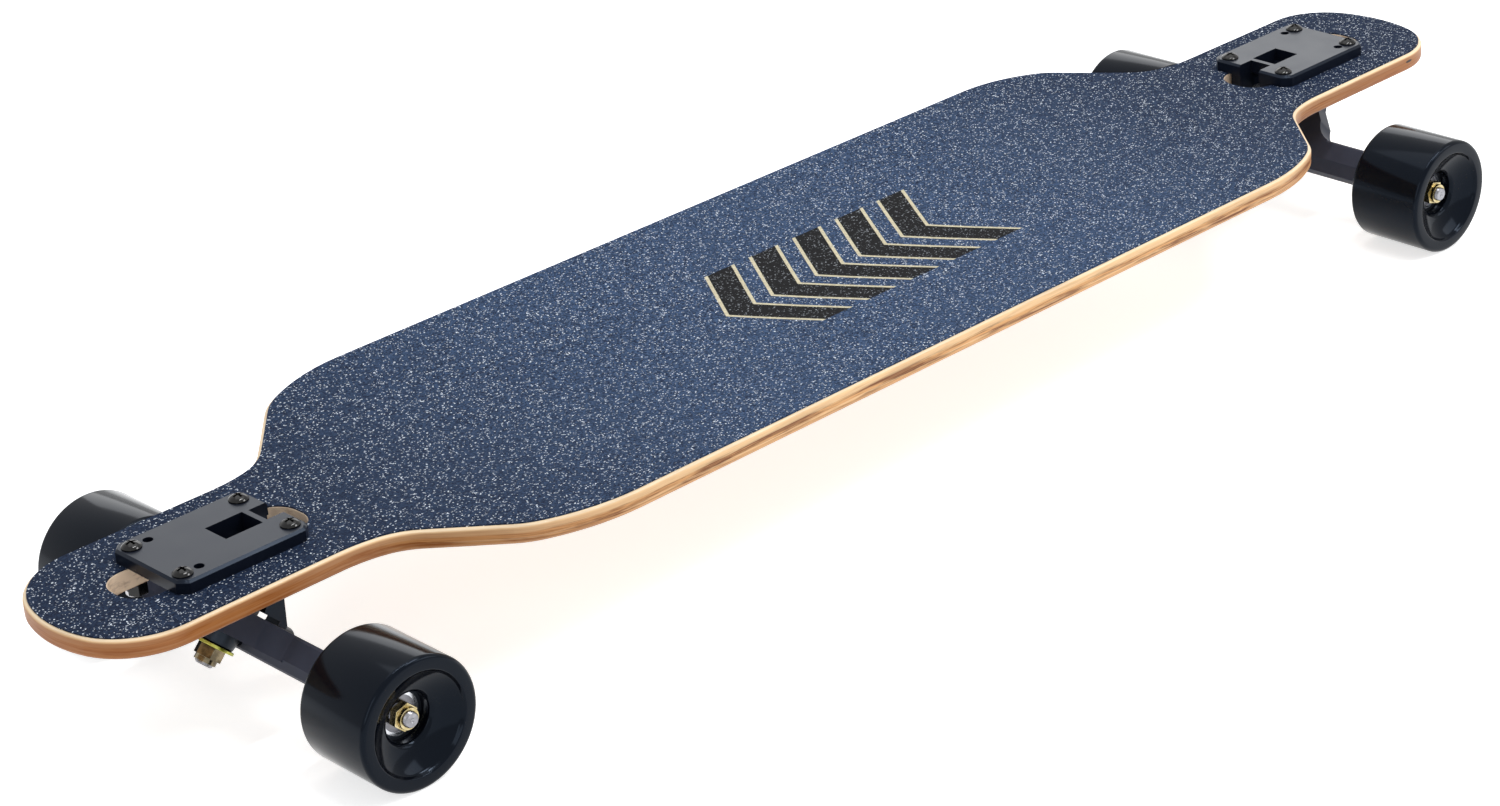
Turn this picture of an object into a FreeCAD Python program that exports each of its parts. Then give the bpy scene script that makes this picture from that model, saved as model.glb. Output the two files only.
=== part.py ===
"""Drop-through longboard with two reverse-kingpin trucks, as a parametric FreeCAD document.

Lengths are in millimetres and angles in degrees. The board stands on the floor at z = 0 with its
length along X, its width along Y and its centre at the origin. The front truck is at +X and the
left wheels are at +Y. Each truck has a frame of its own, with +X outward (towards the board's
tip) and its origin on the deck under the middle of the bolt pattern.
"""
import FreeCAD, Part
import math
import os
from types import SimpleNamespace

import Sketcher

Vector = FreeCAD.Vector
Placement = FreeCAD.Placement
Rotation = FreeCAD.Rotation

SIZES = {
    # Deck
    "deck_length": 1016.0,
    "deck_width": 241.0,
    "deck_thickness": 10.4,
    "concave_radius": 1560.0,
    "top_edge_round": 1.8,
    "bottom_edge_round": 2.5,
    "truck_setback": 95.5,
    "shoulder_lead": 169.5,
    "shoulder_easy_radius": 112.0,
    "shoulder_easy_turn": 28.0,
    "shoulder_tight_radius": 42.0,
    "shoulder_slope": 48.0,
    "neck_tight_radius": 37.0,
    "neck_easy_radius": 88.0,
    "neck_easy_turn": 14.0,
    "neck_width": 104.4,
    "nose_corner_radius": 42.0,
    "nose_corner_turn": 72.0,
    "trim_margin": 60.0,
    "slot_length": 108.5,
    "slot_offset": 2.7,
    "slot_width": 33.0,
    "slot_corner_radius": 14.0,
    # Grip tape
    "grip_thickness": 0.8,
    "glue_line": 0.05,
    "grip_inset": 0.2,
    "grip_slot_margin": 0.4,
    # Mounting bolts and nuts
    "bolt_pitch_long": 63.5,
    "bolt_pitch_short": 54.0,
    "bolt_pitch_wide": 41.3,
    "bolt_radius": 2.4,
    "bolt_hole_clearance": 0.25,
    "bolt_head_radius": 5.2,
    "bolt_head_rim": 0.6,
    "bolt_head_height": 3.0,
    "bolt_recess_span": 5.6,
    "bolt_recess_width": 1.3,
    "bolt_recess_depth": 1.6,
    "bolt_end_past_nut": 1.5,
    "mounting_nut_flats": 9.5,
    "mounting_nut_height": 6.0,
    # Baseplate
    "plate_length": 78.0,
    "plate_width": 59.0,
    "plate_thickness": 7.0,
    "plate_corner_cut": 5.0,
    "plate_edge_bevel": 1.3,
    "casting_width": 29.0,
    "casting_outer_end": 33.0,
    "casting_inner_end": 38.0,
    "rail_depth": 6.0,
    "heel_depth": 20.0,
    "rib_width": 10.0,
    "rib_back": 34.0,
    "rib_lead": 3.0,
    "rib_run": 6.0,
    "rib_swing_room": 2.5,
    "window_start": 2.5,
    "window_length": 22.0,
    "window_width": 17.0,
    "bridge_width": 3.2,
    "seat_wall": 8.0,
    "boss_height": 11.4,
    "boss_radius": 9.6,
    "head_clearance": 0.3,
    # Steering geometry
    "steer_angle": 44.0,
    "kingpin_inset": 3.4,
    "kingpin_drop": 38.4,
    "axle_setback": 17.5,
    "axle_rake": 3.7,
    # Kingpin stack
    "kingpin_radius": 4.7,
    "kingpin_hole_clearance": 0.1,
    "kingpin_head_flats": 14.3,
    "kingpin_head_height": 6.0,
    "kingpin_nut_flats": 13.0,
    "kingpin_nut_height": 8.5,
    "lock_collar_height": 2.6,
    "lock_collar_inset": 0.7,
    "kingpin_end_past_nut": 1.5,
    "thread_clearance": 0.02,
    "stack_washer_thickness": 1.6,
    "boardside_washer_radius": 12.2,
    "roadside_washer_radius": 11.0,
    "boardside_bushing_height": 14.0,
    "boardside_bushing_radius": 12.2,
    "roadside_bushing_height": 12.0,
    "roadside_bushing_radius": 11.6,
    "roadside_bushing_tip_radius": 9.6,
    "bushing_bore_clearance": 0.3,
    "bushing_seat_clearance": 0.4,
    # Pivot
    "pivot_nose_radius": 4.6,
    "pivot_nose_length": 8.0,
    "pivot_nose_round": 3.2,
    "pivot_clearance": 0.06,
    "pivot_cup_wall": 1.5,
    "pivot_cup_floor": 1.5,
    "pivot_cup_depth": 8.5,
    "pivot_housing_wall": 2.2,
    "pivot_gap": 1.0,
    # Hanger
    "hanger_width": 182.0,
    "arm_length": 164.0,
    "arm_inner_reach": 8.5,
    "arm_outer_reach": 10.5,
    "arm_top_reach": 10.0,
    "arm_road_reach": 7.5,
    "arm_top_inner_cut": 6.5,
    "arm_road_inner_cut": 4.0,
    "arm_road_outer_cut": 4.5,
    "arm_top_outer_cut": 1.5,
    "shoulder_boss_radius": 8.5,
    "yoke_base_width": 80.0,
    "yoke_waist_width": 58.0,
    "yoke_waist_rise": 11.0,
    "yoke_fillet_radius": 16.0,
    "yoke_top_width": 38.0,
    "yoke_top_reach": 22.0,
    "yoke_corner": 7.0,
    "yoke_corner_radius": 8.4,
    "yoke_top_thickness": 6.3,
    "yoke_road_thickness": 8.0,
    "seat_web": 6.0,
    "ring_hole_radius": 7.5,
    # Axle and bearings
    "axle_radius": 3.97,
    "axle_end_past_nut": 2.0,
    "axle_end_bevel": 0.8,
    "axle_nut_flats": 12.7,
    "axle_nut_height": 7.0,
    "speed_washer_radius": 5.8,
    "speed_washer_thickness": 1.0,
    "spacer_radius": 5.2,
    "spacer_length": 10.0,
    "bearing_radius": 11.0,
    "bearing_width": 7.0,
    "bearing_pitch_radius": 7.75,
    "race_gap": 3.4,
    "ball_radius": 1.98,
    "ball_clearance": 0.05,
    "ball_count": 7,
    "shield_thickness": 0.3,
    "shield_inset": 0.3,
    "shield_inner_gap": 0.35,
    # Wheel
    "wheel_radius": 34.5,
    "wheel_width": 48.0,
    "wheel_overlap": 6.75,
    "wheel_lip_round": 2.5,
    "hub_radius": 17.0,
    "hub_shoulder": 1.2,
    "hub_end_margin": 0.5,
    "bore_radius": 12.8,
    "bore_edge_round": 1.6,
    "dish_radius": 26.0,
    "dish_step": 2.2,
    "dish_step_run": 1.2,
    "dish_depth": 8.4,
    "dish_bowl_radius": 34.0,
    "inner_recess_radius": 23.0,
    "inner_recess_depth": 2.0,
}


class Dim:
    """A size that carries its value and the sheet expression that gives it."""

    def __init__(self, value, text):
        self.value = value
        self.text = text

    def __add__(self, other):
        other = as_dim(other)
        return Dim(self.value + other.value, f"({self.text} + {other.text})")

    def __sub__(self, other):
        other = as_dim(other)
        return Dim(self.value - other.value, f"({self.text} - {other.text})")

    def __mul__(self, other):
        other = as_dim(other)
        return Dim(self.value * other.value, f"({self.text} * {other.text})")

    def __truediv__(self, other):
        other = as_dim(other)
        return Dim(self.value / other.value, f"({self.text} / {other.text})")

    def __neg__(self):
        return Dim(-self.value, f"(0 - {self.text})")


def as_dim(number):
    return number if isinstance(number, Dim) else Dim(float(number), f"{number:.6f}")


def sin(angle):
    return Dim(math.sin(math.radians(angle.value)), f"sin({angle.text})")


def cos(angle):
    return Dim(math.cos(math.radians(angle.value)), f"cos({angle.text})")


def root(square):
    return Dim(math.sqrt(square.value), f"sqrt({square.text})")


doc = FreeCAD.newDocument("longboard")
sheet = doc.addObject("Spreadsheet::Sheet", "sizes")
for row, (alias, number) in enumerate(SIZES.items(), start=1):
    sheet.set(f"A{row}", alias.replace("_", " "))
    sheet.set(f"B{row}", str(number))
    sheet.setAlias(f"B{row}", alias)
doc.recompute()
d = SimpleNamespace(**{alias: Dim(float(number), f"sizes.{alias}") for alias, number in SIZES.items()})
ZERO = as_dim(0)
TOUCH = 1e-4


# Sketches and features

def new_body(label):
    body = doc.addObject("PartDesign::Body", label)
    body.Label = label
    body.AllowCompound = True
    return body


def origin_feature(body, role):
    return next(feature for feature in body.Origin.OriginFeatures if feature.Role == role)


def bind_offset(owner, prop, base, tilt, tilt_axis):
    """Bind a placement property to a base point and a turn about an axis, both given as sizes."""
    x, y, z = (as_dim(number) for number in base)
    turn = Rotation(tilt_axis, tilt.value)
    setattr(owner, prop, Placement(Vector(x.value, y.value, z.value), turn))
    for axis, number in zip("xyz", (x, y, z)):
        owner.setExpression(f"{prop}.Base.{axis}", number.text)
    if tilt is not ZERO:
        owner.setExpression(f"{prop}.Rotation.Angle", tilt.text)


def new_sketch(body, name, role, base=None, tilt=ZERO, tilt_axis=Vector(0, -1, 0)):
    """A sketch on an origin plane, or moved off it by a base and a tilt in the plane's own axes."""
    sketch = body.newObject("Sketcher::SketchObject", f"{body.Name}_{name}")
    sketch.AttachmentSupport = [(origin_feature(body, role), "")]
    sketch.MapMode = "FlatFace"
    if base is not None:
        bind_offset(sketch, "AttachmentOffset", base, tilt, tilt_axis)
    return sketch


def hold(sketch, kind, *where):
    """Add a driving constraint and bind it to its size, the last argument."""
    *places, size = where
    index = sketch.addConstraint(Sketcher.Constraint(kind, *places, size.value))
    sketch.setExpression(f"Constraints[{index}]", size.text)


def pin_point(sketch, geometry, end, x, y):
    hold(sketch, "DistanceX", geometry, end, x)
    hold(sketch, "DistanceY", geometry, end, y)


def add_circle(sketch, x, y, radius):
    x, y = as_dim(x), as_dim(y)
    circle = Part.Circle(Vector(x.value, y.value, 0), Vector(0, 0, 1), radius.value)
    index = sketch.addGeometry(circle)
    hold(sketch, "Radius", index, radius)
    pin_point(sketch, index, 3, x, y)


def arc_between(start, end, radius, turn):
    """The short arc from start to end: turn is 1 to the left of the way there and -1 to the right."""
    chord = end - start
    middle = (start + end) * 0.5
    rise = math.sqrt(max(radius * radius - chord.Length * chord.Length / 4, 0))
    centre = middle + Vector(-chord.y, chord.x, 0).normalize() * (rise * turn)
    first, last = (start, end) if turn > 0 else (end, start)
    angles = [math.atan2(point.y - centre.y, point.x - centre.x) for point in (first, last)]
    return Part.ArcOfCircle(Part.Circle(centre, Vector(0, 0, 1), radius), *angles)


def add_outline(sketch, path):
    """Draw a closed outline of (x, y) corners, a corner with (radius, turn) added starts an arc."""
    corners = [(as_dim(step[0]), as_dim(step[1])) for step in path]
    points = [Vector(x.value, y.value, 0) for x, y in corners]
    ends = []
    for index, step in enumerate(path):
        start, end = points[index], points[(index + 1) % len(points)]
        if len(step) == 2:
            ends.append((sketch.addGeometry(Part.LineSegment(start, end)), 1, 2))
        else:
            radius, turn = step[2:]
            arc = sketch.addGeometry(arc_between(start, end, radius.value, turn))
            hold(sketch, "Radius", arc, radius)
            ends.append((arc, 1, 2) if turn > 0 else (arc, 2, 1))
    for index, (geometry, first, last) in enumerate(ends):
        following, following_first, _ = ends[(index + 1) % len(ends)]
        sketch.addConstraint(Sketcher.Constraint("Coincident", geometry, last, following, following_first))
        pin_point(sketch, geometry, first, *corners[index])


def extrude(body, kind, sketch, length, symmetric=False, backwards=False):
    """Pad or pocket a sketch along its normal."""
    feature = body.newObject(f"PartDesign::{kind}", f"{sketch.Name}_{kind.lower()}")
    feature.Profile = sketch
    feature.SideType = "Symmetric" if symmetric else "One side"
    feature.Reversed = backwards
    feature.setExpression("Length", length.text)
    doc.recompute()
    return feature


def pad(body, sketch, length, symmetric=False, backwards=False):
    return extrude(body, "Pad", sketch, length, symmetric, backwards)


def pocket(body, sketch, length, symmetric=True, backwards=False):
    before = body.Shape.Volume
    feature = extrude(body, "Pocket", sketch, length, symmetric, backwards)
    if not body.Shape.Volume < before:
        raise RuntimeError(f"{feature.Name} cuts nothing")
    return feature


def revolve(body, sketch, axis="V_Axis"):
    """Turn a profile about one of the sketch's axes, by default the upright one."""
    feature = body.newObject("PartDesign::Revolution", f"{sketch.Name}_turned")
    feature.Profile = sketch
    feature.ReferenceAxis = (sketch, [axis])
    feature.Angle = 360
    doc.recompute()
    return feature


def dress_edges(body, kind, size, wanted):
    """Fillet or chamfer those edges of the body's last feature that pass a test."""
    base = body.Tip
    edges = base.Shape.Edges
    names = [f"Edge{index}" for index, edge in enumerate(edges, start=1) if wanted(edge)]
    feature = body.newObject(f"PartDesign::{kind}", f"{base.Name}_{kind.lower()}")
    feature.Base = (base, names)
    feature.setExpression("Radius" if kind == "Fillet" else "Size", size.text)
    doc.recompute()
    return feature


def along(body, role, spacing, count=2):
    pattern = body.newObject("PartDesign::LinearPattern", f"{body.Name}_along_{role[0]}")
    pattern.Direction = (origin_feature(body, role), [""])
    pattern.Mode = "Spacing"
    pattern.Occurrences = count
    pattern.setExpression("Offset", spacing.text)
    return pattern


def around(body, role, count):
    pattern = body.newObject("PartDesign::PolarPattern", f"{body.Name}_around_{role[0]}")
    pattern.Axis = (origin_feature(body, role), [""])
    pattern.Angle = 360
    pattern.setExpression("Occurrences", count.text)
    return pattern


def repeat(body, features, make_patterns):
    """Repeat features by one or more patterns, as separate solids of one body."""
    group = body.newObject("PartDesign::MultiTransform", f"{body.Name}_set")
    group.Originals = features
    group.Transformations = make_patterns()
    body.Tip = group
    doc.recompute()


def mirror_across(body, features):
    """Add the mirror image of features on the other side of the truck's middle plane."""
    image = body.newObject("PartDesign::Mirrored", f"{body.Name}_pair")
    image.Originals = features
    image.MirrorPlane = (origin_feature(body, "XZ_Plane"), [""])
    body.Tip = image
    doc.recompute()


def rectangle(x_low, y_low, x_high, y_high):
    return [(x_low, y_low), (x_high, y_low), (x_high, y_high), (x_low, y_high)]


def hexagon(flats):
    side = flats / root(as_dim(3))
    half = flats / 2
    return [(side, 0), (side / 2, half), (-side / 2, half),
            (-side, 0), (-side / 2, -half), (side / 2, -half)]


def turned_body(label, profile):
    """A body of revolution about Z from one closed profile of (radius, height) corners."""
    body = new_body(label)
    sketch = new_sketch(body, "profile", "XZ_Plane")
    add_outline(sketch, profile)
    revolve(body, sketch)
    return body


# Heights and places that several pieces share

truck_x = d.deck_length / 2 - d.truck_setback


def steer_point(forward, roadward):
    """Truck-frame (x, z) of a point given along the steering axis and along the kingpin."""
    x = forward * cos(d.steer_angle) + roadward * sin(d.steer_angle) - d.kingpin_inset
    z = forward * sin(d.steer_angle) - roadward * cos(d.steer_angle) - d.kingpin_drop
    return x, z


axle_drop = -steer_point(-d.axle_setback, d.axle_rake)[1]
plate_height = d.wheel_radius + axle_drop
bottom_radius = d.concave_radius + d.deck_thickness
glue_radius = d.concave_radius - d.glue_line
grip_radius = glue_radius - d.grip_thickness


def rise_at(radius, across):
    """Height of a deck surface of a given radius at a distance from the board's middle line."""
    return d.concave_radius - root(radius * radius - across * across)


plate_rise = rise_at(grip_radius, d.plate_width / 2)
deck_height = plate_height - plate_rise
bolt_hole_radius = d.bolt_radius + d.bolt_hole_clearance

web_half = d.seat_web / 2
board_washer_face = web_half + d.boardside_bushing_height
seat_plane = board_washer_face + d.stack_washer_thickness
head_seat = seat_plane + d.boss_height
road_washer_face = web_half + d.roadside_bushing_height
road_nut_face = road_washer_face + d.stack_washer_thickness
road_nut_end = road_nut_face + d.kingpin_nut_height
kingpin_end = road_nut_end + d.kingpin_end_past_nut

arm_inner_face = d.axle_setback + d.arm_inner_reach
tower_face = arm_inner_face + d.pivot_gap
cup_radius = d.pivot_nose_radius + d.pivot_clearance + d.pivot_cup_wall
cup_length = d.pivot_cup_depth + d.pivot_cup_floor
housing_radius = cup_radius + d.pivot_housing_wall
housing_length = cup_length + d.pivot_housing_wall

hanger_end = d.hanger_width / 2
first_bearing = hanger_end + d.speed_washer_thickness
bearing_step = d.bearing_width + d.spacer_length
last_bearing_end = first_bearing + bearing_step + d.bearing_width
axle_nut_face = last_bearing_end + d.speed_washer_thickness
axle_nut_end = axle_nut_face + d.axle_nut_height
axle_end = axle_nut_end + d.axle_end_past_nut
axle_bore_radius = d.axle_radius + d.thread_clearance
inner_race_radius = d.bearing_pitch_radius - d.race_gap / 2
outer_race_bore = d.bearing_pitch_radius + d.race_gap / 2
wheel_inner_face = hanger_end - d.wheel_overlap
wheel_outer_face = wheel_inner_face + d.wheel_width

finished = []


def place(body, truck=None, base=(0, 0, 0), turn=Rotation()):
    """Set a finished sub-part in place, in the board's frame or in a truck's frame."""
    local = Placement(Vector(*(as_dim(number).value for number in base)), turn)
    body.Placement = truck.multiply(local) if truck else local
    finished.append(body)


# Deck and grip tape

def deck_quarter(inset):
    """Corners of the outline from the side to the nose, each with the piece that leaves it."""
    half_width = d.deck_width / 2 - inset
    half_neck = d.neck_width / 2 - inset
    easy, tight = d.shoulder_easy_radius - inset, d.shoulder_tight_radius - inset
    neck_tight, neck_easy = d.neck_tight_radius + inset, d.neck_easy_radius + inset
    corner = d.nose_corner_radius - inset
    turn, slope, ease = d.shoulder_easy_turn, d.shoulder_slope, d.neck_easy_turn
    side_end = truck_x - d.shoulder_lead
    easy_end = side_end + easy * sin(turn), half_width - easy + easy * cos(turn)
    tight_end = (easy_end[0] + tight * (sin(slope) - sin(turn)),
                 easy_end[1] - tight * (cos(turn) - cos(slope)))
    neck_join = half_neck + neck_easy - neck_easy * cos(ease)
    slope_foot = neck_join + neck_tight * (cos(ease) - cos(slope))
    run = (tight_end[1] - slope_foot) * cos(slope) / sin(slope)
    slope_end = tight_end[0] + run
    neck_tight_end = slope_end + neck_tight * (sin(slope) - sin(ease))
    neck_start = neck_tight_end + neck_easy * sin(ease)
    corner_y = half_neck - corner + corner * cos(d.nose_corner_turn)
    end_radius = corner_y / cos(d.nose_corner_turn)
    corner_x = d.deck_length / 2 - inset - end_radius + end_radius * sin(d.nose_corner_turn)
    nose_start = corner_x - corner * sin(d.nose_corner_turn)
    corners = [(side_end, half_width), easy_end, tight_end, (slope_end, slope_foot),
               (neck_tight_end, neck_join), (neck_start, half_neck), (nose_start, half_neck),
               (corner_x, corner_y)]
    pieces = [(easy, -1), (tight, -1), (), (neck_tight, 1), (neck_easy, 1), (), (corner, -1),
              (end_radius, -1)]
    return corners, pieces


def deck_outline(inset):
    """The whole outline, clockwise, from one quarter and its mirror images."""
    corners, pieces = deck_quarter(inset)
    forward = list(zip(corners, pieces))
    back = list(zip(corners[::-1], pieces[-2::-1] + [()]))
    path = [(x, y, *piece) for (x, y), piece in forward]
    path += [(x, -y, *piece) for (x, y), piece in back]
    path += [(-x, -y, *piece) for (x, y), piece in forward]
    path += [(-x, y, *piece) for (x, y), piece in back]
    return path


def bent_sheet(label, top_radius, lower_radius, inset):
    """A sheet bent to the deck's concave and trimmed to the deck's outline less an inset."""
    body = new_body(label)
    half = d.deck_width / 2 + d.trim_margin
    section = new_sketch(body, "section", "YZ_Plane")
    add_outline(section, [
        (-half, rise_at(lower_radius, half), lower_radius, 1), (half, rise_at(lower_radius, half)),
        (half, rise_at(top_radius, half), top_radius, -1), (-half, rise_at(top_radius, half))])
    pad(body, section, d.deck_length + d.trim_margin, symmetric=True)
    trim = new_sketch(body, "trim", "XY_Plane")
    beyond_x = d.deck_length / 2 + d.trim_margin
    beyond_y = half + d.trim_margin
    add_outline(trim, rectangle(-beyond_x, -beyond_y, beyond_x, beyond_y))
    add_outline(trim, deck_outline(inset))
    pocket(body, trim, d.deck_width)
    return body


def lies_on_bend(radius):
    """Test for the edges that lie on the bent face of a given radius."""
    def wanted(edge):
        middle = edge.valueAt((edge.FirstParameter + edge.LastParameter) / 2)
        reach = math.hypot(middle.y, d.concave_radius.value - middle.z)
        return abs(reach - radius.value) < TOUCH
    return wanted


def cut_truck_openings(body, slot_margin):
    """Cut the two drop-through slots and the bolt holes."""
    slots = new_sketch(body, "slots", "XY_Plane")
    half_length = d.slot_length / 2 + slot_margin
    half_width = d.slot_width / 2 + slot_margin
    corner = d.slot_corner_radius + slot_margin
    for centre in (truck_x + d.slot_offset, -truck_x - d.slot_offset):
        x_low, x_high = centre - half_length, centre + half_length
        add_outline(slots, [
            (x_low + corner, -half_width), (x_high - corner, -half_width, corner, 1),
            (x_high, corner - half_width), (x_high, half_width - corner, corner, 1),
            (x_high - corner, half_width), (x_low + corner, half_width, corner, 1),
            (x_low, half_width - corner), (x_low, corner - half_width, corner, 1)])
    pocket(body, slots, d.deck_width)
    holes = new_sketch(body, "holes", "XY_Plane")
    for centre in (truck_x, -truck_x):
        for x in (centre - d.bolt_pitch_long / 2, centre + d.bolt_pitch_long / 2):
            for y in (-d.bolt_pitch_wide / 2, d.bolt_pitch_wide / 2):
                add_circle(holes, x, y, bolt_hole_radius)
    pocket(body, holes, d.deck_width)


def build_deck():
    deck = bent_sheet("deck", d.concave_radius, bottom_radius, ZERO)
    dress_edges(deck, "Fillet", d.top_edge_round, lies_on_bend(d.concave_radius))
    dress_edges(deck, "Fillet", d.bottom_edge_round, lies_on_bend(bottom_radius))
    cut_truck_openings(deck, ZERO)
    place(deck, base=(0, 0, deck_height))
    grip = bent_sheet("grip_tape", grip_radius, glue_radius, d.top_edge_round + d.grip_inset)
    cut_truck_openings(grip, d.grip_slot_margin)
    place(grip, base=(0, 0, deck_height))


# Mounting bolts and nuts

def build_mounting_hardware(name, truck):
    nut_across = d.bolt_pitch_wide / 2 - d.mounting_nut_flats / root(as_dim(3))
    nut_top = rise_at(bottom_radius, nut_across) - plate_rise
    nut_bottom = nut_top - d.mounting_nut_height
    first = (-d.bolt_pitch_long / 2, -d.bolt_pitch_wide / 2, 0)

    bolts = new_body(f"{name}_mounting_bolts")
    profile = new_sketch(bolts, "profile", "XZ_Plane")
    crown = d.plate_thickness + d.bolt_head_height
    rim = d.plate_thickness + d.bolt_head_rim
    dome = d.bolt_head_height - d.bolt_head_rim
    dome_radius = (d.bolt_head_radius * d.bolt_head_radius + dome * dome) / (dome * 2)
    tip = nut_bottom - d.bolt_end_past_nut
    add_outline(profile, [
        (0, tip), (d.bolt_radius, tip), (d.bolt_radius, d.plate_thickness),
        (d.bolt_head_radius, d.plate_thickness), (d.bolt_head_radius, rim, dome_radius, 1), (0, crown)])
    turned = revolve(bolts, profile)
    recess = new_sketch(bolts, "recess", "XY_Plane", base=(0, 0, crown))
    arm, half = d.bolt_recess_span / 2, d.bolt_recess_width / 2
    add_outline(recess, [
        (arm, -half), (arm, half), (half, half), (half, arm), (-half, arm), (-half, half),
        (-arm, half), (-arm, -half), (-half, -half), (-half, -arm), (half, -arm), (half, -half)])
    cross = pocket(bolts, recess, d.bolt_recess_depth, symmetric=False)
    repeat(bolts, [turned, cross], lambda: [along(bolts, "X_Axis", d.bolt_pitch_long),
                                            along(bolts, "Y_Axis", d.bolt_pitch_wide)])
    place(bolts, truck, first)

    nuts = new_body(f"{name}_mounting_nuts")
    section = new_sketch(nuts, "section", "XY_Plane", base=(0, 0, nut_bottom))
    add_outline(section, hexagon(d.mounting_nut_flats))
    add_circle(section, 0, 0, d.bolt_radius + d.thread_clearance)
    block = pad(nuts, section, d.mounting_nut_height)
    repeat(nuts, [block], lambda: [along(nuts, "X_Axis", d.bolt_pitch_long),
                                   along(nuts, "Y_Axis", d.bolt_pitch_wide)])
    place(nuts, truck, first)


# Baseplate

def build_baseplate(name, truck):
    body = new_body(f"{name}_baseplate")
    half_length, half_width, cut = d.plate_length / 2, d.plate_width / 2, d.plate_corner_cut

    plate = new_sketch(body, "plate", "XY_Plane")
    add_outline(plate, [
        (cut - half_length, -half_width), (half_length - cut, -half_width),
        (half_length, cut - half_width), (half_length, half_width - cut),
        (half_length - cut, half_width), (cut - half_length, half_width),
        (-half_length, half_width - cut), (-half_length, cut - half_width)])
    pad(body, plate, d.plate_thickness)
    top = d.plate_thickness.value
    dress_edges(body, "Chamfer", d.plate_edge_bevel, lambda edge: edge.BoundBox.ZMin > top - TOUCH)

    # The casting under the plate, from the rail in the slot down to the bushing seat.
    overlap = d.plate_thickness / 2
    seat_foot = d.boardside_washer_radius + d.bushing_seat_clearance
    rail_s = (d.kingpin_drop - d.rail_depth - seat_plane * cos(d.steer_angle)) / sin(d.steer_angle)
    casting = new_sketch(body, "casting", "XZ_Plane")
    add_outline(casting, [
        (d.casting_outer_end, overlap), (d.casting_outer_end, -d.rail_depth),
        steer_point(rail_s, -seat_plane), steer_point(-seat_foot, -seat_plane),
        (-d.casting_inner_end, -d.heel_depth), (-d.casting_inner_end, overlap)])
    pad(body, casting, d.casting_width, symmetric=True)

    # The rib that passes over the arm, and the pivot cup's housing at its end.
    rib_face = d.arm_top_reach - d.axle_rake + d.rib_swing_room
    rib_end = tower_face + d.rib_run
    rib = new_sketch(body, "rib", "XZ_Plane")
    add_outline(rib, [
        (-d.rib_back, -d.rail_depth), steer_point(-seat_foot, -seat_plane),
        steer_point(-seat_foot - d.rib_lead, -rib_face), steer_point(-tower_face, -rib_face),
        steer_point(-tower_face, ZERO), steer_point(-rib_end, ZERO),
        steer_point(-rib_end, -housing_radius)])
    pad(body, rib, d.rib_width, symmetric=True)
    mouth_x, mouth_z = steer_point(-tower_face, ZERO)
    mouth = {"base": (0, mouth_z, mouth_x), "tilt": d.steer_angle, "tilt_axis": Vector(-1, 0, 0)}
    housing = new_sketch(body, "housing", "YZ_Plane", **mouth)
    add_circle(housing, 0, 0, housing_radius)
    pad(body, housing, housing_length, backwards=True)

    # The hollow under the window, and the kingpin's boss standing in it.
    window_end = d.window_start + d.window_length
    floor_depth = seat_plane + d.seat_wall

    def floor_at(x):
        forward = (x + d.kingpin_inset + floor_depth * sin(d.steer_angle)) / cos(d.steer_angle)
        return steer_point(forward, -floor_depth)[1]

    hollow = new_sketch(body, "hollow", "XZ_Plane")
    add_outline(hollow, [
        (-d.window_start, d.plate_thickness * 2), (-window_end, d.plate_thickness * 2),
        (-window_end, floor_at(-window_end)), (-d.window_start, floor_at(-d.window_start))])
    pocket(body, hollow, d.window_width)
    boss_base = steer_point(ZERO, -seat_plane)
    boss = new_sketch(body, "boss", "XY_Plane", base=(boss_base[0], 0, boss_base[1]), tilt=d.steer_angle)
    add_circle(boss, 0, 0, d.boss_radius)
    pad(body, boss, d.boss_height)

    # The kingpin's head drops in through the notch, which is as wide as the head's flats.
    notch_width = d.kingpin_head_flats + d.head_clearance * 2
    notch_start = window_end + d.bridge_width
    notch = new_sketch(body, "notch", "XY_Plane")
    add_outline(notch, rectangle(-d.plate_length, -notch_width / 2, -notch_start, notch_width / 2))
    pocket(body, notch, d.plate_thickness * 2)
    head_reach = d.kingpin_head_flats / root(as_dim(3)) + d.head_clearance
    channel_base = steer_point(ZERO, -head_seat)
    channel = new_sketch(body, "channel", "XY_Plane",
                         base=(channel_base[0], 0, channel_base[1]), tilt=d.steer_angle)
    add_outline(channel, rectangle(-head_reach, -notch_width / 2, head_reach, notch_width / 2))
    channel_length = (d.kingpin_drop - head_seat * cos(d.steer_angle)) / cos(d.steer_angle)
    pocket(body, channel, channel_length, symmetric=False, backwards=True)

    bore_base = steer_point(ZERO, -seat_plane)
    bore = new_sketch(body, "bore", "XY_Plane", base=(bore_base[0], 0, bore_base[1]), tilt=d.steer_angle)
    add_circle(bore, 0, 0, d.kingpin_radius + d.kingpin_hole_clearance)
    pocket(body, bore, d.boss_height * 3)

    cup = new_sketch(body, "cup", "YZ_Plane", **mouth)
    add_circle(cup, 0, 0, cup_radius + d.thread_clearance)
    pocket(body, cup, cup_length, symmetric=False)

    holes = new_sketch(body, "holes", "XY_Plane")
    inner_row = -d.bolt_pitch_long / 2
    for x in (inner_row, -inner_row, inner_row + d.bolt_pitch_short):
        for y in (-d.bolt_pitch_wide / 2, d.bolt_pitch_wide / 2):
            add_circle(holes, x, y, bolt_hole_radius)
    pocket(body, holes, d.plate_thickness * 3)
    place(body, truck)


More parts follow.
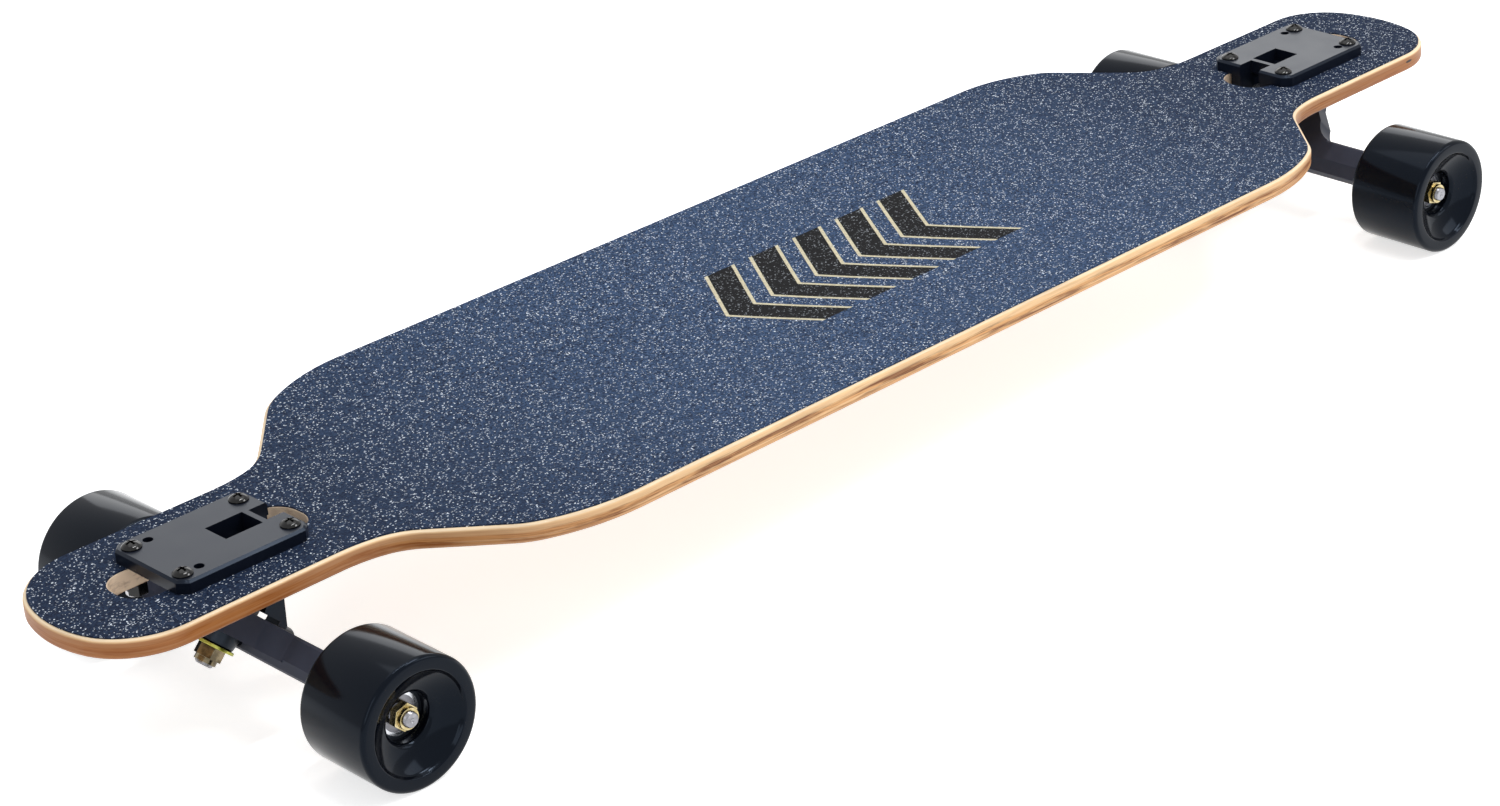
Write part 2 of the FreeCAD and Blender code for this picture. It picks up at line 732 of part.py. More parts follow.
def lock_nut(body, role, hexagon_base, collar_base, flats, bore, height, backwards=False):
    """Pad a hexagon and the round collar beyond it, both along the normal of a plane."""
    section = new_sketch(body, "section", role, base=(0, 0, hexagon_base))
    add_outline(section, hexagon(flats))
    add_circle(section, 0, 0, bore)
    block = pad(body, section, height - d.lock_collar_height, backwards=backwards)
    collar = new_sketch(body, "collar", role, base=(0, 0, collar_base))
    add_circle(collar, 0, 0, flats / 2 - d.lock_collar_inset)
    add_circle(collar, 0, 0, bore)
    return [block, pad(body, collar, d.lock_collar_height, backwards=backwards)]


# Kingpin, bushings and pivot cup, all on the truck's steering frame

def build_kingpin_stack(name, steering):
    """Pieces on the kingpin, whose heights are measured along it towards the board."""
    kingpin = turned_body(f"{name}_kingpin", [
        (0, -kingpin_end), (d.kingpin_radius - d.axle_end_bevel, -kingpin_end),
        (d.kingpin_radius, d.axle_end_bevel - kingpin_end), (d.kingpin_radius, head_seat), (0, head_seat)])
    head = new_sketch(kingpin, "head", "XY_Plane", base=(0, 0, head_seat))
    add_outline(head, hexagon(d.kingpin_head_flats))
    pad(kingpin, head, d.kingpin_head_height)
    place(kingpin, steering)

    nut = new_body(f"{name}_kingpin_nut")
    lock_nut(nut, "XY_Plane", d.lock_collar_height - road_nut_end, -road_nut_end,
             d.kingpin_nut_flats, d.kingpin_radius + d.thread_clearance, d.kingpin_nut_height)
    place(nut, steering)

    bore = d.kingpin_radius + d.bushing_bore_clearance
    place(turned_body(f"{name}_boardside_washer", rectangle(
        bore, board_washer_face, d.boardside_washer_radius, seat_plane)), steering)
    place(turned_body(f"{name}_roadside_washer", rectangle(
        bore, -road_nut_face, d.roadside_washer_radius, -road_washer_face)), steering)
    place(turned_body(f"{name}_boardside_bushing", rectangle(
        bore, web_half, d.boardside_bushing_radius, board_washer_face)), steering)
    place(turned_body(f"{name}_roadside_bushing", [
        (bore, -road_washer_face), (d.roadside_bushing_tip_radius, -road_washer_face),
        (d.roadside_bushing_radius, -web_half), (bore, -web_half)]), steering)


def build_pivot_cup(name, steering):
    """The cup's profile is turned about Z, then laid along the steering axis with its mouth outward."""
    lining = d.pivot_nose_radius + d.pivot_clearance
    cup = turned_body(f"{name}_pivot_cup", [
        (0, 0), (cup_radius, 0), (cup_radius, cup_length), (lining, cup_length),
        (lining, d.pivot_cup_floor), (0, d.pivot_cup_floor)])
    place(cup, steering, (-tower_face - cup_length, 0, 0), Rotation(Vector(0, 1, 0), 90))


# Hanger and axle

def build_hanger(name, steering):
    """The hanger's frame is the steering frame: X along the steering axis, Z along the kingpin."""
    body = new_body(f"{name}_hanger")
    axle_x, axle_z = -d.axle_setback, -d.axle_rake
    inner, outer = axle_x - d.arm_inner_reach, axle_x + d.arm_outer_reach
    top, road = axle_z + d.arm_top_reach, axle_z - d.arm_road_reach

    arms = new_sketch(body, "arms", "XZ_Plane")
    add_outline(arms, [
        (inner + d.arm_road_inner_cut, road), (outer - d.arm_road_outer_cut, road),
        (outer, road + d.arm_road_outer_cut), (outer, top - d.arm_top_outer_cut),
        (outer - d.arm_top_outer_cut, top), (inner + d.arm_top_inner_cut, top),
        (inner, top - d.arm_top_inner_cut), (inner, road + d.arm_road_inner_cut)])
    pad(body, arms, d.arm_length, symmetric=True)
    shoulders = new_sketch(body, "shoulders", "XZ_Plane")
    add_circle(shoulders, axle_x, axle_z, d.shoulder_boss_radius)
    pad(body, shoulders, d.hanger_width, symmetric=True)

    # The yoke that carries the bushing seat, with a hollow curve from each arm.
    base, waist, crest = d.yoke_base_width / 2, d.yoke_waist_width / 2, d.yoke_top_width / 2
    waist_x = outer + d.yoke_waist_rise
    yoke = new_sketch(body, "yoke", "XY_Plane", base=(0, 0, -d.yoke_road_thickness))
    add_outline(yoke, [
        (axle_x, -base), (outer, -base, d.yoke_fillet_radius, -1), (waist_x, -waist),
        (d.yoke_top_reach - d.yoke_corner, -crest, d.yoke_corner_radius, 1),
        (d.yoke_top_reach, d.yoke_corner - crest),
        (d.yoke_top_reach, crest - d.yoke_corner, d.yoke_corner_radius, 1),
        (d.yoke_top_reach - d.yoke_corner, crest),
        (waist_x, waist, d.yoke_fillet_radius, -1), (outer, base), (axle_x, base)])
    pad(body, yoke, d.yoke_road_thickness + d.yoke_top_thickness)

    nose = new_sketch(body, "nose", "XY_Plane")
    nose_root = axle_x - d.axle_radius
    nose_tip = -arm_inner_face - d.pivot_gap - d.pivot_nose_length
    radius, rounding = d.pivot_nose_radius, d.pivot_nose_round
    add_outline(nose, [
        (nose_root, 0), (nose_root, radius), (nose_tip + rounding, radius, rounding, 1),
        (nose_tip, radius - rounding), (nose_tip, 0)])
    revolve(body, nose, "H_Axis")

    seats = ((d.boardside_bushing_radius, web_half, True), (d.roadside_bushing_radius, -web_half, False))
    for number, (bushing_radius, level, towards_board) in enumerate(seats):
        seat = new_sketch(body, f"seat_{number}", "XY_Plane", base=(0, 0, level))
        add_circle(seat, 0, 0, bushing_radius + d.bushing_seat_clearance)
        pocket(body, seat, d.arm_top_reach + d.arm_road_reach, symmetric=False, backwards=towards_board)
    hole = new_sketch(body, "hole", "XY_Plane")
    add_circle(hole, 0, 0, d.ring_hole_radius)
    pocket(body, hole, d.seat_web * 2)
    bore = new_sketch(body, "bore", "XZ_Plane")
    add_circle(bore, axle_x, axle_z, axle_bore_radius)
    pocket(body, bore, d.hanger_width * 2)
    place(body, steering)


def axle_body(label, profiles):
    """Rings on the axle's +Y half from (radius, distance out) profiles; returns body and feature."""
    body = new_body(label)
    sketch = new_sketch(body, "profile", "XY_Plane")
    for profile in profiles:
        add_outline(sketch, profile)
    return body, revolve(body, sketch)


def ring(inner, outer, start, end):
    return rectangle(inner, start, outer, end)


def build_axle(name, axle_frame):
    bevel = d.axle_end_bevel
    axle = axle_body(f"{name}_axle", [[
        (0, -axle_end), (d.axle_radius - bevel, -axle_end), (d.axle_radius, bevel - axle_end),
        (d.axle_radius, axle_end - bevel), (d.axle_radius - bevel, axle_end), (0, axle_end)]])[0]
    place(axle, axle_frame)

    nuts = new_body(f"{name}_axle_nuts")
    mirror_across(nuts, lock_nut(
        nuts, "XZ_Plane", -axle_nut_face, d.lock_collar_height - axle_nut_end,
        d.axle_nut_flats, axle_bore_radius, d.axle_nut_height, backwards=True))
    place(nuts, axle_frame)

    washers, turned = axle_body(f"{name}_speed_washers", [
        ring(axle_bore_radius, d.speed_washer_radius, hanger_end, first_bearing),
        ring(axle_bore_radius, d.speed_washer_radius, last_bearing_end, axle_nut_face)])
    mirror_across(washers, [turned])
    place(washers, axle_frame)

    spacers, turned = axle_body(f"{name}_bearing_spacers", [
        ring(axle_bore_radius, d.spacer_radius, first_bearing + d.bearing_width,
             first_bearing + bearing_step)])
    mirror_across(spacers, [turned])
    place(spacers, axle_frame)

    groove, middle, half = groove_sizes()
    races = []
    for start in (first_bearing, first_bearing + bearing_step):
        centre = start + middle
        races.append([
            (axle_bore_radius, start), (inner_race_radius, start),
            (inner_race_radius, centre - half, groove, -1), (inner_race_radius, centre + half),
            (inner_race_radius, start + d.bearing_width), (axle_bore_radius, start + d.bearing_width)])
    inner_races, turned = axle_body(f"{name}_bearing_inner_races", races)
    mirror_across(inner_races, [turned])
    place(inner_races, axle_frame)


def groove_sizes():
    """Radius of a ball groove, height of its middle and half its width at the race's edge."""
    groove = d.ball_radius + d.ball_clearance
    half_gap = d.race_gap / 2
    return groove, d.bearing_width / 2, root(groove * groove - half_gap * half_gap)


# Wheels

def build_wheel(name, wheel_frame):
    """One wheel, with distances out from the truck's middle along the axle."""
    hub_start = first_bearing - d.hub_end_margin
    hub_end = last_bearing_end + d.hub_end_margin
    lip = d.wheel_lip_round
    bore, edge = d.bore_radius, d.bore_edge_round
    step_foot = wheel_outer_face - d.dish_step
    dish_floor = wheel_outer_face - d.dish_depth
    recess_floor = wheel_inner_face + d.inner_recess_depth
    tyre = axle_body(f"{name}_tyre", [[
        (bore, hub_start), (bore, recess_floor), (d.inner_recess_radius, recess_floor),
        (d.inner_recess_radius + d.inner_recess_depth, wheel_inner_face),
        (d.wheel_radius - lip, wheel_inner_face, lip, 1), (d.wheel_radius, wheel_inner_face + lip),
        (d.wheel_radius, wheel_outer_face - lip, lip, 1), (d.wheel_radius - lip, wheel_outer_face),
        (d.dish_radius + d.dish_step_run, wheel_outer_face),
        (d.dish_radius, step_foot, d.dish_bowl_radius, -1),
        (bore + edge, dish_floor, edge, 1), (bore, dish_floor - edge), (bore, hub_end),
        (d.hub_radius, hub_end), (d.hub_radius, hub_start)]])[0]
    place(tyre, wheel_frame)

    seat_radius = d.bearing_radius + d.thread_clearance
    shoulder_bore = d.bearing_radius - d.hub_shoulder
    seat_end = first_bearing + d.bearing_width
    second_seat = first_bearing + bearing_step
    hub = axle_body(f"{name}_hub", [[
        (seat_radius, hub_start), (d.hub_radius, hub_start), (d.hub_radius, hub_end), (seat_radius, hub_end),
        (seat_radius, second_seat), (shoulder_bore, second_seat), (shoulder_bore, seat_end),
        (seat_radius, seat_end)]])[0]
    place(hub, wheel_frame)

    groove, middle, half = groove_sizes()
    centre = first_bearing + middle
    races, turned = axle_body(f"{name}_bearing_outer_races", [[
        (outer_race_bore, first_bearing), (d.bearing_radius, first_bearing),
        (d.bearing_radius, first_bearing + d.bearing_width),
        (outer_race_bore, first_bearing + d.bearing_width),
        (outer_race_bore, centre + half, groove, -1), (outer_race_bore, centre - half)]])
    repeat(races, [turned], lambda: [along(races, "Y_Axis", bearing_step)])
    place(races, wheel_frame)

    shield_bore = inner_race_radius + d.shield_inner_gap
    shield_edge = outer_race_bore - d.thread_clearance
    near = first_bearing + d.shield_inset
    far = first_bearing + d.bearing_width - d.shield_inset
    shields, turned = axle_body(f"{name}_bearing_shields", [
        ring(shield_bore, shield_edge, near, near + d.shield_thickness),
        ring(shield_bore, shield_edge, far - d.shield_thickness, far)])
    repeat(shields, [turned], lambda: [along(shields, "Y_Axis", bearing_step)])
    place(shields, wheel_frame)

    balls = new_body(f"{name}_bearing_balls")
    ball = balls.newObject("PartDesign::AdditiveSphere", f"{balls.Name}_ball")
    ball.setExpression("Radius", d.ball_radius.text)
    bind_offset(ball, "Placement", (d.bearing_pitch_radius, centre, 0), ZERO, Vector(0, 1, 0))
    doc.recompute()
    repeat(balls, [ball], lambda: [around(balls, "Y_Axis", d.ball_count),
                                   along(balls, "Y_Axis", bearing_step)])
    place(balls, wheel_frame)


def build_truck(name, outward):
    """One truck, at the board's +X end where outward is 1 and at its -X end where it is -1."""
    truck = Placement(Vector(outward * truck_x.value, 0, plate_height.value),
                      Rotation(Vector(0, 0, 1), 0 if outward > 0 else 180))
    crossing = Vector(-d.kingpin_inset.value, 0, -d.kingpin_drop.value)
    steering = truck.multiply(Placement(crossing, Rotation(Vector(0, 1, 0), -d.steer_angle.value)))
    axle_frame = steering.multiply(Placement(
        Vector(-d.axle_setback.value, 0, -d.axle_rake.value), Rotation()))
    build_baseplate(name, truck)
    build_mounting_hardware(name, truck)
    build_kingpin_stack(name, steering)
    build_pivot_cup(name, steering)
    build_hanger(name, steering)
    build_axle(name, axle_frame)
    other_side = axle_frame.multiply(Placement(Vector(), Rotation(Vector(0, 0, 1), 180)))
    left, right = (axle_frame, other_side) if outward > 0 else (other_side, axle_frame)
    build_wheel(f"{name}_left", left)
    build_wheel(f"{name}_right", right)


def write_parts():
    """Check every object and sub-part, then write each sub-part to a file of its own."""
    doc.recompute()
    for thing in doc.Objects:
        if "Invalid" in thing.State or "Error" in thing.State:
            raise RuntimeError(f"{thing.Label} failed: {thing.State}")
    for body in finished:
        if body.Shape.isNull() or not body.Shape.isValid() or not body.Shape.Solids:
            raise RuntimeError(f"{body.Label} has no valid solid")
    os.makedirs("parts", exist_ok=True)
    for body in finished:
        body.Shape.exportStep(f"parts/{body.Label}.step")
        print(f"{body.Label}: {len(body.Shape.Solids)} solids, {body.Shape.Volume:.1f} mm3")


build_deck()
build_truck("front", 1)
build_truck("rear", -1)
write_parts()
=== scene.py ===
import math

import bpy
from mathutils import Matrix, Vector


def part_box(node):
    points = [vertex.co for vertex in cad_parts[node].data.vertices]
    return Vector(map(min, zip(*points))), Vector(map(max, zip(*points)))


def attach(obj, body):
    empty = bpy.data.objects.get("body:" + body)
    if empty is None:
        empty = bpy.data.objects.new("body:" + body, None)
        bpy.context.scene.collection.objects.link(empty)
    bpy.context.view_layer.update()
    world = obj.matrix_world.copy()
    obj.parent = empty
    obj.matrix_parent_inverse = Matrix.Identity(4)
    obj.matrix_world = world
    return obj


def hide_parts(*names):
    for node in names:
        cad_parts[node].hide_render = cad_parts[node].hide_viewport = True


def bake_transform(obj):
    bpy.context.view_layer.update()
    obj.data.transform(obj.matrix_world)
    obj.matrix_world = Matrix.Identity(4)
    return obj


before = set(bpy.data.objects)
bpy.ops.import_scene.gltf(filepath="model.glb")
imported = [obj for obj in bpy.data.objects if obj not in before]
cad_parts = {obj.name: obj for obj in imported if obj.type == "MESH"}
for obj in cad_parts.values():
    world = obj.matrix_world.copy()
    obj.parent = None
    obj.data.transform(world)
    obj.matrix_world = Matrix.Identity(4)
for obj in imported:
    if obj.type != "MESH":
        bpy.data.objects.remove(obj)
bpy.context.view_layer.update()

bl_info = {
    "name": "Longboard Looks",
    "version": (1, 0, 0),
    "blender": (4, 5, 0),
    "location": "View3D > Sidebar > Longboard",
    "description": "Dresses a drop-through longboard with its castings, wheels and finishes",
    "category": "Object",
}

TRUCKS = (("front", 1), ("rear", -1))
SIDES = ("left", "right")
WHEELS = tuple(f"{end}_{side}" for end, _ in TRUCKS for side in SIDES)
MM = 0.001
UPRIGHT = (0, 0, 1)
WHITE = (1, 1, 1, 1)

# How finely the pieces are turned, merged and smoothed
TYRE_STEPS = 128
BUSHING_STEPS = 96
AXLE_STEPS = 64
BOWL_STEPS = 10
CORNER_SEGMENTS = 5
EDGE_SEGMENTS = 3
MERGE = 0.002 * MM
SOLID_MERGE = 0.003 * MM
CORNER_REACH = 0.01 * MM
FLAT_ANGLE = math.radians(0.6)
EDGE_ANGLE = math.radians(38)
TURNED_SMOOTH = math.radians(32)
EASED_SMOOTH = math.radians(34)

# The deck's edge: its form, its plies by depth with a painted highlight at the top and painted shade at
# the bottom, the slots, the brown toward the ends and one knot
DECK_TOP = 86.589 * MM
DECK_THICKNESS = 10.4 * MM
CONCAVE_RADIUS = 1560 * MM
# The top ply is pale wood painted lighter still, as a highlight on the rounded top edge; the dark line at
# the very bottom is painted shade under the rounded bottom edge
PLIES = ((0.0, "ply_top_and_highlight"), (0.05, "ply_top_and_highlight"), (0.10, "ply_honey"), (0.34, "ply_honey"),
         (0.44, "ply_amber"), (0.60, "ply_amber"), (0.66, "ply_honey"), (0.76, "ply_amber"),
         (0.86, "ply_rose"), (0.92, "ply_rose"), (0.94, "ply_pale"), (0.97, "ply_pale"),
         (0.985, "ply_painted_shade"))
PLY_WANDER = 0.16
SLOT_HALF = 17.4 * MM
SLOT_AT = 415.2 * MM
SLOT_REACH = 55 * MM
SLOT_DEPTH = 0.95
STAIN_START = 180 * MM
STAIN_FULL = 430 * MM
STAIN_DEPTH = 0.82
KNOT_X = 465.2 * MM
KNOT_RUN = 3.6 * MM
KNOT_DEPTH = 4.2 * MM
KNOT_HALF = 0.9 * MM

# The grip tape: cells per metre, the dark toward the ends and the printed arrows
FACETS = 1500.0
GRAINS = 1250.0
DARK_ENDS_START = 90 * MM
DARK_ENDS_FULL = 420 * MM
DARK_ENDS_DEPTH = 0.72
ARROWS = 5
ARROWS_AT = 8 * MM
ARROW_STEP = 34 * MM
ARROW_HALF = 9 * MM
ARROW_LINE = 2.4 * MM
ARROW_SLOPE = 0.6
ARROW_REACH = 46 * MM

# How much deeper the second tone of a metal is, and how far paint and urethane vary
STEEL_SHADE = 0.85
BEARING_SHADE = 0.9
# The second tone of the kingpin nuts' plating, which is painted shade
SHADED_NUT_DEPTH = 0.7
TONE_LOW = 0.88
TONE_HIGH = 1.12

# The studio, with the lamps' places, aims, widths, heights and watts
FLOOR_SIZE = 14.0
FLOOR_GLOW = 0.66
FLOOR_CLOUD = 0.06
FLOOR_SHADE = (0.9, 0.9, 0.9)
SKY_COLOUR = (0.92, 0.96, 1.0, 1)
SKY_STRENGTH = 0.45
LAMPS = (("overhead", (0.35, 0.35, 2.4), (0.05, 0, 0), 2.6, 1.6, 15),
         ("left_soft", (-2.4, -1.2, 1.2), (0, 0, 0.05), 0.9, 1.6, 10),
         ("back_soft", (1.9, 2.1, 1.25), (0, 0, 0.05), 2.6, 1.1, 17),
         ("strip", (0.05, -0.5, 2.3), (0.05, -0.1, 0.05), 1.0, 0.1, 12),
         ("front_top", (0.8, -1.15, 1.9), (0, 0, 0.05), 0.8, 0.45, 15),
         ("right_soft", (1.8, -2.0, 1.3), (0, 0, 0.05), 1.4, 1.0, 11))
CAMERA_PLACE = (-1.248307, -1.298140, 0.877440)
CAMERA_RIGHT = (0.71593996, -0.69556913, -0.06011286)
CAMERA_UP = (0.34133572, 0.27361811, 0.89923471)
CAMERA_BACK = (-0.60903193, -0.66431673, 0.43331673)
CAMERA_LENS = 85.90
CAMERA_SENSOR = 36.0
CAMERA_NEAR = 0.05


def length(name, description, default):
    """A size, given in millimetres and kept in metres, that shows with its unit."""
    return bpy.props.FloatProperty(name=name, description=description, default=default * MM,
                                   min=0.0, unit="LENGTH", precision=5)


def colour(name, description, default):
    """A finish colour, written as it shows on a screen."""
    return bpy.props.FloatVectorProperty(name=name, description=description, default=default,
                                         subtype="COLOR_GAMMA", size=3, min=0.0, max=1.0)


def angle(name, description, default):
    """An angle given in degrees."""
    return bpy.props.FloatProperty(name=name, description=description, default=math.radians(default),
                                   subtype="ANGLE", unit="ROTATION")


class LongboardSizes(bpy.types.PropertyGroup):
    """The sizes of the dressed pieces."""

    wheel_lip: length("Wheel lip", "Round between a wheel's tread and its faces", 2.5)
    wheel_ring: length("Outer ring", "Radius where the flat outer ring meets the dish", 27.2)
    ring_round: length("Ring round", "Round where the outer ring meets the dish", 0.5)
    dish_edge: length("Dish edge", "Radius at the foot of the step into the dish", 26.0)
    dish_step: length("Dish step", "Depth of the step into the dish", 2.2)
    dish_depth: length("Dish depth", "Depth of the dish at the bearing bore", 8.4)
    dish_bowl: length("Dish bowl", "Radius of the dish's hollow curve", 34.0)
    dish_round: length("Dish round", "Round at the corners of the dish", 0.7)
    wheel_bore: length("Wheel bore", "Radius of the opening before the bearing", 12.8)
    bore_round: length("Bore slope", "Slope at the mouth of the bearing opening", 1.6)
    core_radius: length("Core radius", "Radius where the tyre is cast on its core", 17.0)
    core_start: length("Core start", "Where the core begins, out from the board's middle", 91.5)
    core_end: length("Core end", "Where the core ends, out from the board's middle", 116.5)
    recess_radius: length("Inner recess", "Radius of the shallow recess on the inner face", 23.0)
    recess_depth: length("Recess depth", "Depth of the inner face's recess", 2.0)
    recess_round: length("Recess round", "Round at the edge of the inner face's recess", 0.6)
    crossing_x: length("Crossing place", "How far out the kingpin crosses the hanger", 409.1)
    crossing_z: length("Crossing height", "Height where the kingpin crosses the hanger", 49.318)
    kingpin_lean: angle("Kingpin lean", "Lean of the kingpin from upright", 44.0)
    bushing_seat: length("Bushing seat", "From the crossing to the near end of a bushing", 3.0)
    bushing_bore: length("Bushing bore", "Radius of the hole through a bushing", 5.0)
    bushing_round: length("Bushing round", "Round at a bushing's edges", 0.9)
    boardside_height: length("Boardside height", "Height of the bushing next to the board", 14.0)
    boardside_radius: length("Boardside radius", "Radius of the bushing next to the board", 12.2)
    roadside_height: length("Roadside height", "Height of the bushing next to the road", 12.0)
    roadside_radius: length("Roadside radius", "Radius of that bushing at the hanger", 11.6)
    roadside_tip: length("Roadside tip", "Radius of that bushing at its washer", 9.6)
    casting_round: length("Casting round", "Round along the edges of the hangers", 0.9)
    plate_round: length("Plate round", "Round along the edges of the baseplates", 0.6)
    hardware_round: length("Hardware round", "Round along the edges of nuts, bolts and washers", 0.25)
    thread_pitch: length("Thread pitch", "Pitch of the threads on the axles", 1.05)
    thread_depth: length("Thread depth", "Depth of those threads", 0.45)
    thread_run: length("Thread run", "Length of the thread at each axle end", 12.0)


class LongboardColours(bpy.types.PropertyGroup):
    """The colours of the finishes."""

    grit: colour("Grit", "Slate blue of the grip tape", (0.035, 0.07, 0.15))
    grit_pale: colour("Pale grit", "Palest of the grit between the facets", (0.265, 0.355, 0.49))
    # Painted glint: the near-white that stands in for light glinting off the grit's facets
    painted_grit_glint: colour("Grit sparkle", "Bright facets in the grit", (0.91, 0.94, 0.98))
    band: colour("Printed black", "Black of the printed arrows", (0.05, 0.05, 0.06))
    band_line: colour("Printed cream", "Cream lines beside the arrows", (0.86, 0.82, 0.70))
    # Pale face ply, painted lighter as the highlight on the rounded top edge
    ply_top_and_highlight: colour("Top ply", "Pale face ply", (0.97, 0.87, 0.73))
    ply_honey: colour("Honey ply", "Warm ply under the face", (0.96, 0.8, 0.605))
    ply_amber: colour("Amber ply", "Darker plies in the middle", (0.9, 0.675, 0.445))
    ply_brown: colour("Ply line", "Glue lines and end grain", (0.47, 0.27, 0.13))
    stain: colour("Edge stain", "Warm brown of the edge toward the ends", (0.6, 0.335, 0.11))
    ply_rose: colour("Rose ply", "Pinkish ply low on the edge", (0.92, 0.73, 0.54))
    # Raw end grain, painted paler than it is to lift the shade inside the slots
    ply_raw_painted_paler: colour("Raw wood", "Raw end grain in the truck slots", (1, 0.9, 0.79))
    ply_pale: colour("Pale line", "Pale lacquer line under the edge", (0.8, 0.76, 0.74))
    # Painted shade under the rounded bottom edge
    ply_painted_shade: colour("Dark line", "Thin dark line at the bottom edge", (0.34, 0.27, 0.25))
    underside: colour("Underside", "Clear finished maple below", (0.86, 0.72, 0.53))
    plate: colour("Baseplate", "Dark paint on the baseplates", (0.055, 0.07, 0.11))
    # Black paint painted a lighter grey, standing in for the sheen of the hangers
    hanger: colour("Hanger", "Black paint on the hangers", (0.24, 0.25, 0.3))
    bolt: colour("Bolts", "Black of the mounting bolts", (0.012, 0.012, 0.014))
    steel: colour("Steel", "Bare steel of axles and kingpins", (0.6, 0.6, 0.62))
    chrome: colour("Bearing steel", "Polished bearing steel", (0.84, 0.85, 0.87))
    shield: colour("Bearing shield", "Pressed shields of the bearings", (0.50, 0.50, 0.52))
    nut: colour("Plated nut", "Pale gold plating on the axle nuts", (0.80, 0.74, 0.58))
    nut_shade: colour("Plated nut shade", "Deeper gold on the axle nuts", (0.66, 0.60, 0.42))
    # Painted shade: the kingpin nuts carry the same plating as the axle nuts, painted darker for the shade
    # and dark reflections around them
    nut_painted_shade: colour("Kingpin nut", "Darker plating on the kingpin nuts", (0.56, 0.51, 0.41))
    washer: colour("Plated washer", "Yellow-green plating on the washers", (0.74, 0.74, 0.38))
    washer_shade: colour("Plated washer shade", "Deeper tint on the washers", (0.60, 0.60, 0.24))
    urethane: colour("Wheel urethane", "Blue-black of the wheels", (0.03, 0.04, 0.066))
    sheen: colour("Cool sheen", "Tint of the reflections in black paint and urethane", (0.79, 0.88, 1))
    bushing: colour("Bushing urethane", "Black of the bushings", (0.05, 0.05, 0.055))
    core: colour("Wheel core", "Dark plastic of the wheel cores", (0.06, 0.06, 0.07))
    floor: colour("Floor", "Pale studio floor", (0.93, 0.93, 0.93))


def sizes():
    """The scene's sizes."""
    return bpy.context.scene.longboard_sizes


def colours():
    """The scene's colours."""
    return bpy.context.scene.longboard_colours


def linear(shown):
    """A screen colour as a render colour."""
    return tuple(c / 12.92 if c <= 0.04045 else ((c + 0.055) / 1.055) ** 2.4 for c in shown) + (1.0,)


def shaded(tint, factor):
    """A screen colour made lighter or darker, as a render colour."""
    return linear(tuple(min(v * factor, 1.0) for v in tint))


# Working in edit mode

def pick(piece):
    """Leaves one piece selected and active."""
    bpy.ops.object.select_all(action="DESELECT")
    piece.select_set(True)
    bpy.context.view_layer.objects.active = piece


def open_mesh(piece):
    """Opens a piece in edit mode, with vertices to select."""
    pick(piece)
    bpy.ops.object.mode_set(mode="EDIT")
    bpy.ops.mesh.select_mode(type="VERT")


def close_mesh():
    """Leaves edit mode."""
    bpy.ops.object.mode_set(mode="OBJECT")


def start_point(name, place):
    """A piece that begins as one vertex at a place, left open in edit mode."""
    bpy.ops.object.select_all(action="DESELECT")
    bpy.ops.mesh.primitive_plane_add(size=MM, location=(0, 0, 0))
    piece = bpy.context.object
    piece.name = name
    piece.data.name = name
    open_mesh(piece)
    bpy.ops.mesh.select_all(action="SELECT")
    bpy.ops.mesh.merge(type="CENTER")
    bpy.ops.transform.translate(value=place)
    return piece


def turned(name, points, centre, axis, across, steps, round_at=(), ring=True):
    """A ring or a solid shaft turned about an axis from its outline of distances out and along."""
    axis, across, centre = Vector(axis), Vector(across), Vector(centre)
    places = [centre + across * out + axis * along for out, along in points]
    ends = places[1:] + places[:1] if ring else places[1:]
    piece = start_point(name, places[0])
    for here, there in zip(places, ends):
        bpy.ops.mesh.extrude_vertices_move(TRANSFORM_OT_translate={"value": there - here})
    bpy.ops.mesh.select_all(action="SELECT")
    bpy.ops.mesh.remove_doubles(threshold=MERGE)
    for (out, along), offset in round_at:
        corner = centre + across * out + axis * along
        bpy.ops.mesh.select_all(action="DESELECT")
        close_mesh()
        for vertex in piece.data.vertices:
            vertex.select = (vertex.co - corner).length < CORNER_REACH
        bpy.ops.object.mode_set(mode="EDIT")
        bpy.ops.mesh.bevel(offset=offset, segments=CORNER_SEGMENTS, affect="VERTICES")
    bpy.ops.mesh.select_all(action="SELECT")
    bpy.ops.mesh.spin(steps=steps, angle=math.tau, center=centre, axis=axis)
    bpy.ops.mesh.select_all(action="SELECT")
    bpy.ops.mesh.remove_doubles(threshold=MERGE)
    bpy.ops.mesh.normals_make_consistent(inside=False)
    close_mesh()
    pick(piece)
    bpy.ops.object.shade_smooth_by_angle(angle=TURNED_SMOOTH)
    return piece


def arc(start, end, radius, side, steps):
    """Points on the arc between two outline points, without its ends."""
    start, end = Vector(start), Vector(end)
    chord = end - start
    rise = math.sqrt(max(radius ** 2 - chord.length_squared / 4, 0.0))
    middle = (start + end) / 2 + side * rise * Vector((-chord.y, chord.x)).normalized()
    first, last = start - middle, end - middle
    sweep = first.angle_signed(last)
    points = []
    for step in range(1, steps):
        swing = -sweep * step / steps
        spot = Vector((first.x * math.cos(swing) - first.y * math.sin(swing),
                       first.x * math.sin(swing) + first.y * math.cos(swing)))
        points.append(tuple(middle + spot))
    return points


def copy_piece(piece, name):
    """Another of a piece, with a mesh of its own."""
    other = piece.copy()
    other.data = piece.data.copy()
    other.name = name
    other.data.name = name
    bpy.context.scene.collection.objects.link(other)
    return other


def half_turn(piece, name, x):
    """Another of a piece, turned half round about the upright line through x."""
    other = copy_piece(piece, name)
    pick(other)
    bpy.ops.transform.rotate(value=math.pi, orient_axis="Z", center_override=(x, 0, 0))
    bpy.ops.object.transform_apply(location=True, rotation=True, scale=True)
    return other


